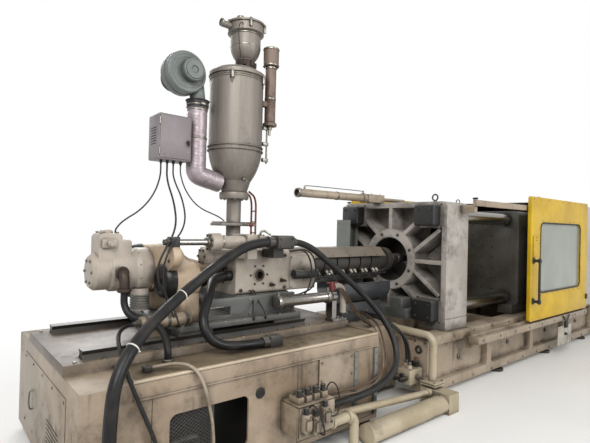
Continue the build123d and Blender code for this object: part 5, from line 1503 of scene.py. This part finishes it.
def pipe_details():
    """Flange plates, union nuts and clamps on the pipes by the floor."""
    steel = Piece("pipe_flanges", PIPE)
    for low in (0.19, 0.212):
        steel.box((-1.42, -1.26), (-0.965, -0.805), (low, low + 0.016))
    for x, long in ((-2.62, 0.03), (-2.79, 0.026)):
        steel.collar((x, -1.0, 0.245), AHEAD, 0.035, 0.047, long, 24)
    for x, z in ((-2.78, 0.2605), (-1.5, 0.1547)):
        steel.collar((x, -0.93, z), (1, 0, -0.083), 0.029, 0.04, 0.03, 24)
    steel.done()
    bolts = Piece("pipe_bolts", ZINC)
    bolts.hexes(grid(about(-1.34, 0.062), about(-0.885, 0.062), 0.228), UP, 0.008, 0.009)
    bolts.hexes([(-1.47, -1.045, 0.176)], UP, 0.012, 0.012)
    bolts.done()


def manifold_details():
    """Small valves, coils and hex fittings crowded on the side manifold, and its leads."""
    bodies = Piece("manifold_valves", CREAM)
    coils = Piece("manifold_coils", BLACK)
    nuts = Piece("manifold_fittings", ZINC)
    top = 0.488
    for x in spread(-3.08, -2.86, 4):
        bodies.box(about(x, 0.026), (-1.01, -0.905), (0.44, top), 0.004)
        coils.nosed((x, -0.985, top), UP, 0.019, 0.05, 0.012, 16, 0.005)
        nuts.fitting((x, -0.93, top), UP, 0.013, 0.016, 0.008, 0.03)
    nuts.fitting((-2.86, -1.045, 0.355), NEAR, 0.02, 0.018, 0.013, 0.042)
    for x, low in ((-3.085, 0.285), (-3.0, 0.255), (-2.915, 0.3)):
        bodies.box(about(x, 0.032), (-1.092, -1.048), (low, low + 0.115), 0.004)
        bodies.box(about(x, 0.022), (-1.108, -1.09), (low + 0.02, low + 0.08), 0.003)
        coils.nosed((x, -1.07, low + 0.115), UP, 0.018, 0.045, 0.01, 16, 0.005)
        nuts.screws(grid(about(x, 0.022), -1.092, low + 0.098), NEAR, 0.006, 0.006)
        nuts.fitting((x, -1.07, low), DOWN, 0.013, 0.016, 0.008, 0.03)
    bodies.collar((-2.8, -0.94, 0.335), AHEAD, 0.0275, 0.041, 0.034, 24)
    face = -1.049
    wide, deep, tall = (-3.128, -2.802), (-1.043, -0.855), (0.234, 0.436)
    bodies.box(wide, (face, -1.044), tall)
    bodies.box((-3.135, -3.129), deep, tall)
    bodies.box(wide, deep, (0.4395, 0.4435), 0.001)
    nuts.screws(grid(spread(-3.1, -2.83, 5), face, 0.281), NEAR, 0.008, 0.008)
    finish_all(bodies, coils, nuts)
    run = [(-2.822, -0.985, 0.441), (-2.822, -0.985, 0.51), (-2.79, -1.01, 0.55), (-2.765, -1.05, 0.5)]
    run += [(-2.765, -1.066, 0.38), (-2.8, -1.078, 0.33), (-2.85, -1.075, 0.33), (-2.87, -1.046, 0.335)]
    cable("manifold_cable", run, 0.005, SEAL, "root")
    run = [(-3.04, -1.046, 0.425), (-3.045, -1.085, 0.46), (-3.035, -1.125, 0.44), (-2.99, -1.135, 0.33)]
    run += [(-2.96, -1.125, 0.245), (-2.955, -1.08, 0.238), (-2.955, -1.046, 0.245)]
    cable("manifold_loop", run, 0.006, SEAL, "root")


def valve_details():
    """Levers, plugs and screws on the small valve at the clamp bed's end."""
    coil_y = (-0.71, -0.64)
    coil_z = 0.235
    bits = Piece("valve_bits", ZINC)
    for y in coil_y:
        bits.fitting((-1.5, y, coil_z), BACK, 0.02, 0.022, 0.012, 0.045)
    bits.fitting((-1.4, -0.75, 0.24), NEAR, 0.024, 0.03, 0.014, 0.06, 6, 0.004)
    for x, y in zip((-1.46, -1.41), coil_y):
        bits.collar((x, y, 0.352), UP, 0.0125, 0.018, 0.028, 16)
    bits.screws(grid((-1.485, -1.315), (-0.735, -0.615), 0.31), UP, 0.008, 0.009)
    bits.done()
    coils = Piece("valve_coils", BLACK)
    for y in coil_y:
        coils.fitting((-1.545, y, coil_z), BACK, 0.024, 0.05, 0.014, 0.07, 20, 0.005)
    coils.box((-1.585, -1.555), (-0.725, -0.695), (0.255, 0.295), 0.004)
    coils.box((-1.36, -1.32), (-0.715, -0.655), (0.31, 0.365), 0.004)
    coils.done()
    pivot = (-1.34, -0.685)
    bar = [(*pivot, 0.365), (*pivot, 0.395), (-1.37, -0.72, 0.41), (-1.42, -0.78, 0.42)]
    Piece("valve_lever", RED).wire(bar, 0.006).done()


def hose_ends():
    """Crimped ferrules where the large hoses meet their fittings."""
    moving = Piece("carriage_ferrules", OILY, "carriage")
    moving.collar((-2.961, -0.5, 1.522), BACK, 0.0355, 0.043, 0.06, 24)
    moving.collar((-2.799, -0.5, 1.522), AHEAD, 0.0275, 0.035, 0.05, 24)
    moving.screws(grid((-2.94, -2.82), -0.56, (1.49, 1.55)), NEAR, 0.007, 0.008)
    moving.done()
    still = Piece("bed_ferrules", OILY)
    still.collar((-4.345, -1.005, 0.401), UP, 0.0355, 0.043, 0.06, 24)
    still.collar((-3.121, -0.665, 0.802), BACK, 0.0335, 0.04, 0.05, 24)
    still.collar((-3.675, -0.882, 0.2005), UP, 0.0105, 0.017, 0.024, 16)
    still.done()


def free_leads():
    """Cables beside the front hose, the hose from the oil tube and the two probes' leads."""
    for i, (name, finish, radius) in enumerate((("a", SHEATH, 0.009), ("b", PALE_SHEATH, 0.007))):
        side = 0.035 * i
        run = [(-1.65 - side, -0.1203, 0.8), (-1.65 - side, -0.25, 0.8), (-1.74 - side, -0.45, 0.8 - side)]
        run += [(-1.86, -0.66 + side, 0.76 - side), (-1.955, -0.8 + side, 0.64), (-1.985 - side, -0.86, 0.52)]
        run += [(-2.12, -0.895, 0.425 - side), (-2.35, -0.9, 0.38 - side), (-2.6, -0.9, 0.4 - side)]
        run += [(-2.7, -0.895, 0.41 - side), (-2.7995, -0.895, 0.41 - side)]
        cable("companion_cable_" + name, run, radius, finish, "root")
    run = [(-3.9805, -0.425, 0.992), (-4.08, -0.435, 0.992), (-4.19, -0.62, 0.985), (-4.245, -0.86, 0.925)]
    run += [(-4.215, -0.915, 0.8), (-4.13, -0.905, 0.6), (-4.06, -0.9, 0.44), (-4.04, -0.895, 0.36)]
    bend = ((-4.05, -0.43, 0.99), (-4.23, -0.9, 0.85))
    cable("tube_hose", [*run, (-4.04, -0.851, 0.33)], 0.012, HOSE, bend=bend)
    for name, start, x in (("a", -3.045, -3.115), ("b", -3.015, -3.005)):
        run = [(start, -0.3005, 1.125), (start, -0.335, 1.12), (start - 0.005, -0.37, 1.07)]
        run += [(x, -0.455, 0.985), (x, -0.482, 0.945), (x, -0.4705, 0.925)]
        cable("probe_cable_" + name, run, 0.006, SEAL)


hose("big_hose", BIG_HOSE, 0.035, HOSE, ((-3.2, -0.5, 1.5), (-4.33, -1.0, 0.8)), BIG_HOSE_TIES)
hose("loop_hose", LOOP_HOSE, 0.033, HOSE, ((-3.4, -0.3, 1.22), (-3.5, -0.65, 0.84)))
hose("front_hose", FRONT_HOSE, 0.027, HOSE, ((-2.6, -0.5, 1.5), (-1.85, -0.85, 0.6)))
hose("valve_hose_a", VALVE_HOSE_A, 0.012, HOSE)
hose("valve_hose_b", VALVE_HOSE_B, 0.012, HOSE)
hose("side_cable", SIDE_CABLE, 0.01, TUBE)
free_leads()

for dress in (
    bed_details, bed_end, carriage_details, throat_details, cylinder_details, crosshead_details,
    motor_details, terminal_box, heater_details, hood_details, dryer_details, loader_details, blower_details,
    foil_duct, control_box_details, throat_pipe_details, return_pipe_details, hub_details, mould_holes,
    grease_lines, guard_plate, top_cylinder_details, gate_details, rail_details, clamp_bed_details,
    cover_details, trough_details, shift_details, pipe_details, manifold_details, valve_details, hose_ends,
):
    dress()


# Camera, light and floor

def camera():
    """Looks from the operator side along the machine, as the photograph does."""
    data = bpy.data.cameras.new("camera")
    data.lens = EYE_LENS
    data.sensor_width = 36
    eye = placed("camera", data)
    right = Vector(EYE_RIGHT).normalized()
    back = right.cross(Vector(EYE_UP)).normalized()
    up = back.cross(right)
    turn = Matrix((right, up, back)).transposed()
    eye.matrix_world = Matrix.Translation(EYE) @ turn.to_4x4()
    bpy.context.scene.camera = eye


def lamp(name, place, aim, size, power):
    data = bpy.data.lights.new(name, "AREA")
    data.shape = "DISK"
    data.size = size
    data.energy = power
    made = placed(name, data)
    made.location = place
    made.rotation_euler = (Vector(aim) - Vector(place)).to_track_quat("-Z", "Y").to_euler()


def surroundings():
    """A pale floor and a white surround, which metal and glass show too."""
    world = bpy.data.worlds.new("surround")
    bpy.context.scene.world = world
    world.use_nodes = True
    wires = Wiring(world.node_tree)
    ground = world.node_tree.nodes["Background"]
    seen = wires.add("ShaderNodeLightPath")
    white = wires.math("MAXIMUM", seen.outputs["Is Camera Ray"], seen.outputs["Is Transmission Ray"])
    level = wires.math("MAXIMUM", white, wires.times(seen.outputs["Is Glossy Ray"], 0.6))
    wires.put(wires.span(level, 0.0, 1.0, 0.45, 1.0), ground.inputs["Strength"])
    wires.put((1.0, 1.0, 1.0, 1.0), ground.inputs["Color"])
    made, wires, shader = material("Pale floor")
    wires.put(wires.mix(wires.noise(0.6), tone("e0dfdc"), tone("e8e7e4")), shader.inputs["Base Color"])
    shader.inputs["Roughness"].default_value = 0.7
    far = wires.add("ShaderNodeVectorMath", operation="LENGTH")
    wires.put(wires.place((0.62, 1, 1)), far.inputs[0])
    glow = wires.add("ShaderNodeEmission")
    blend = wires.add("ShaderNodeMixShader")
    wires.put(wires.span(far.outputs["Value"], 2.2, 5.0), blend.inputs["Fac"])
    wires.put(shader.outputs["BSDF"], blend.inputs[1])
    wires.put(glow.outputs["Emission"], blend.inputs[2])
    wires.put(blend.outputs["Shader"], made.node_tree.nodes["Material Output"].inputs["Surface"])
    shape = bmesh.new()
    bmesh.ops.create_grid(shape, x_segments=2, y_segments=2, size=40)
    mesh = mesh_of(shape, "floor")
    mesh.materials.append(made)
    floor = placed("floor", mesh)
    floor.location = (0, 0, -0.002)


camera()
surroundings()
lamp("key", (-7.5, -5.5, 6.5), (-2.5, 0, 1.2), 4.0, 620)
lamp("fill", (1.0, -9.0, 5.0), (0, 0, 1.0), 5.0, 420)
lamp("back", (-2.0, 7.5, 6.0), (-1, 0, 1.3), 5.0, 380)

for name in (
    "injection_bed", "bed_neck", "drip_trays", "carriage_base", "throat_block", "injection_cylinders",
    "crosshead", "hydraulic_motor", "shift_cylinders", "fixed_platen", "nozzle_bridge", "clamp_bed",
    "clamp_cover", "gate_frame", "control_box", "tie_bar_nuts", "moving_platen", "tail_platen", "hose_saddle",
    "hose_fittings", "valve_block", "rod_brackets", "flange_valve", "oil_tube", "short_pipe", "top_cylinder",
    "drool_trough", "gate_rails", "far_gate", "clamp_cylinder", "feed_throat", "end_caps", "gate_handle",
):
    eased(name)

bpy.context.scene.view_settings.view_transform = "Standard"
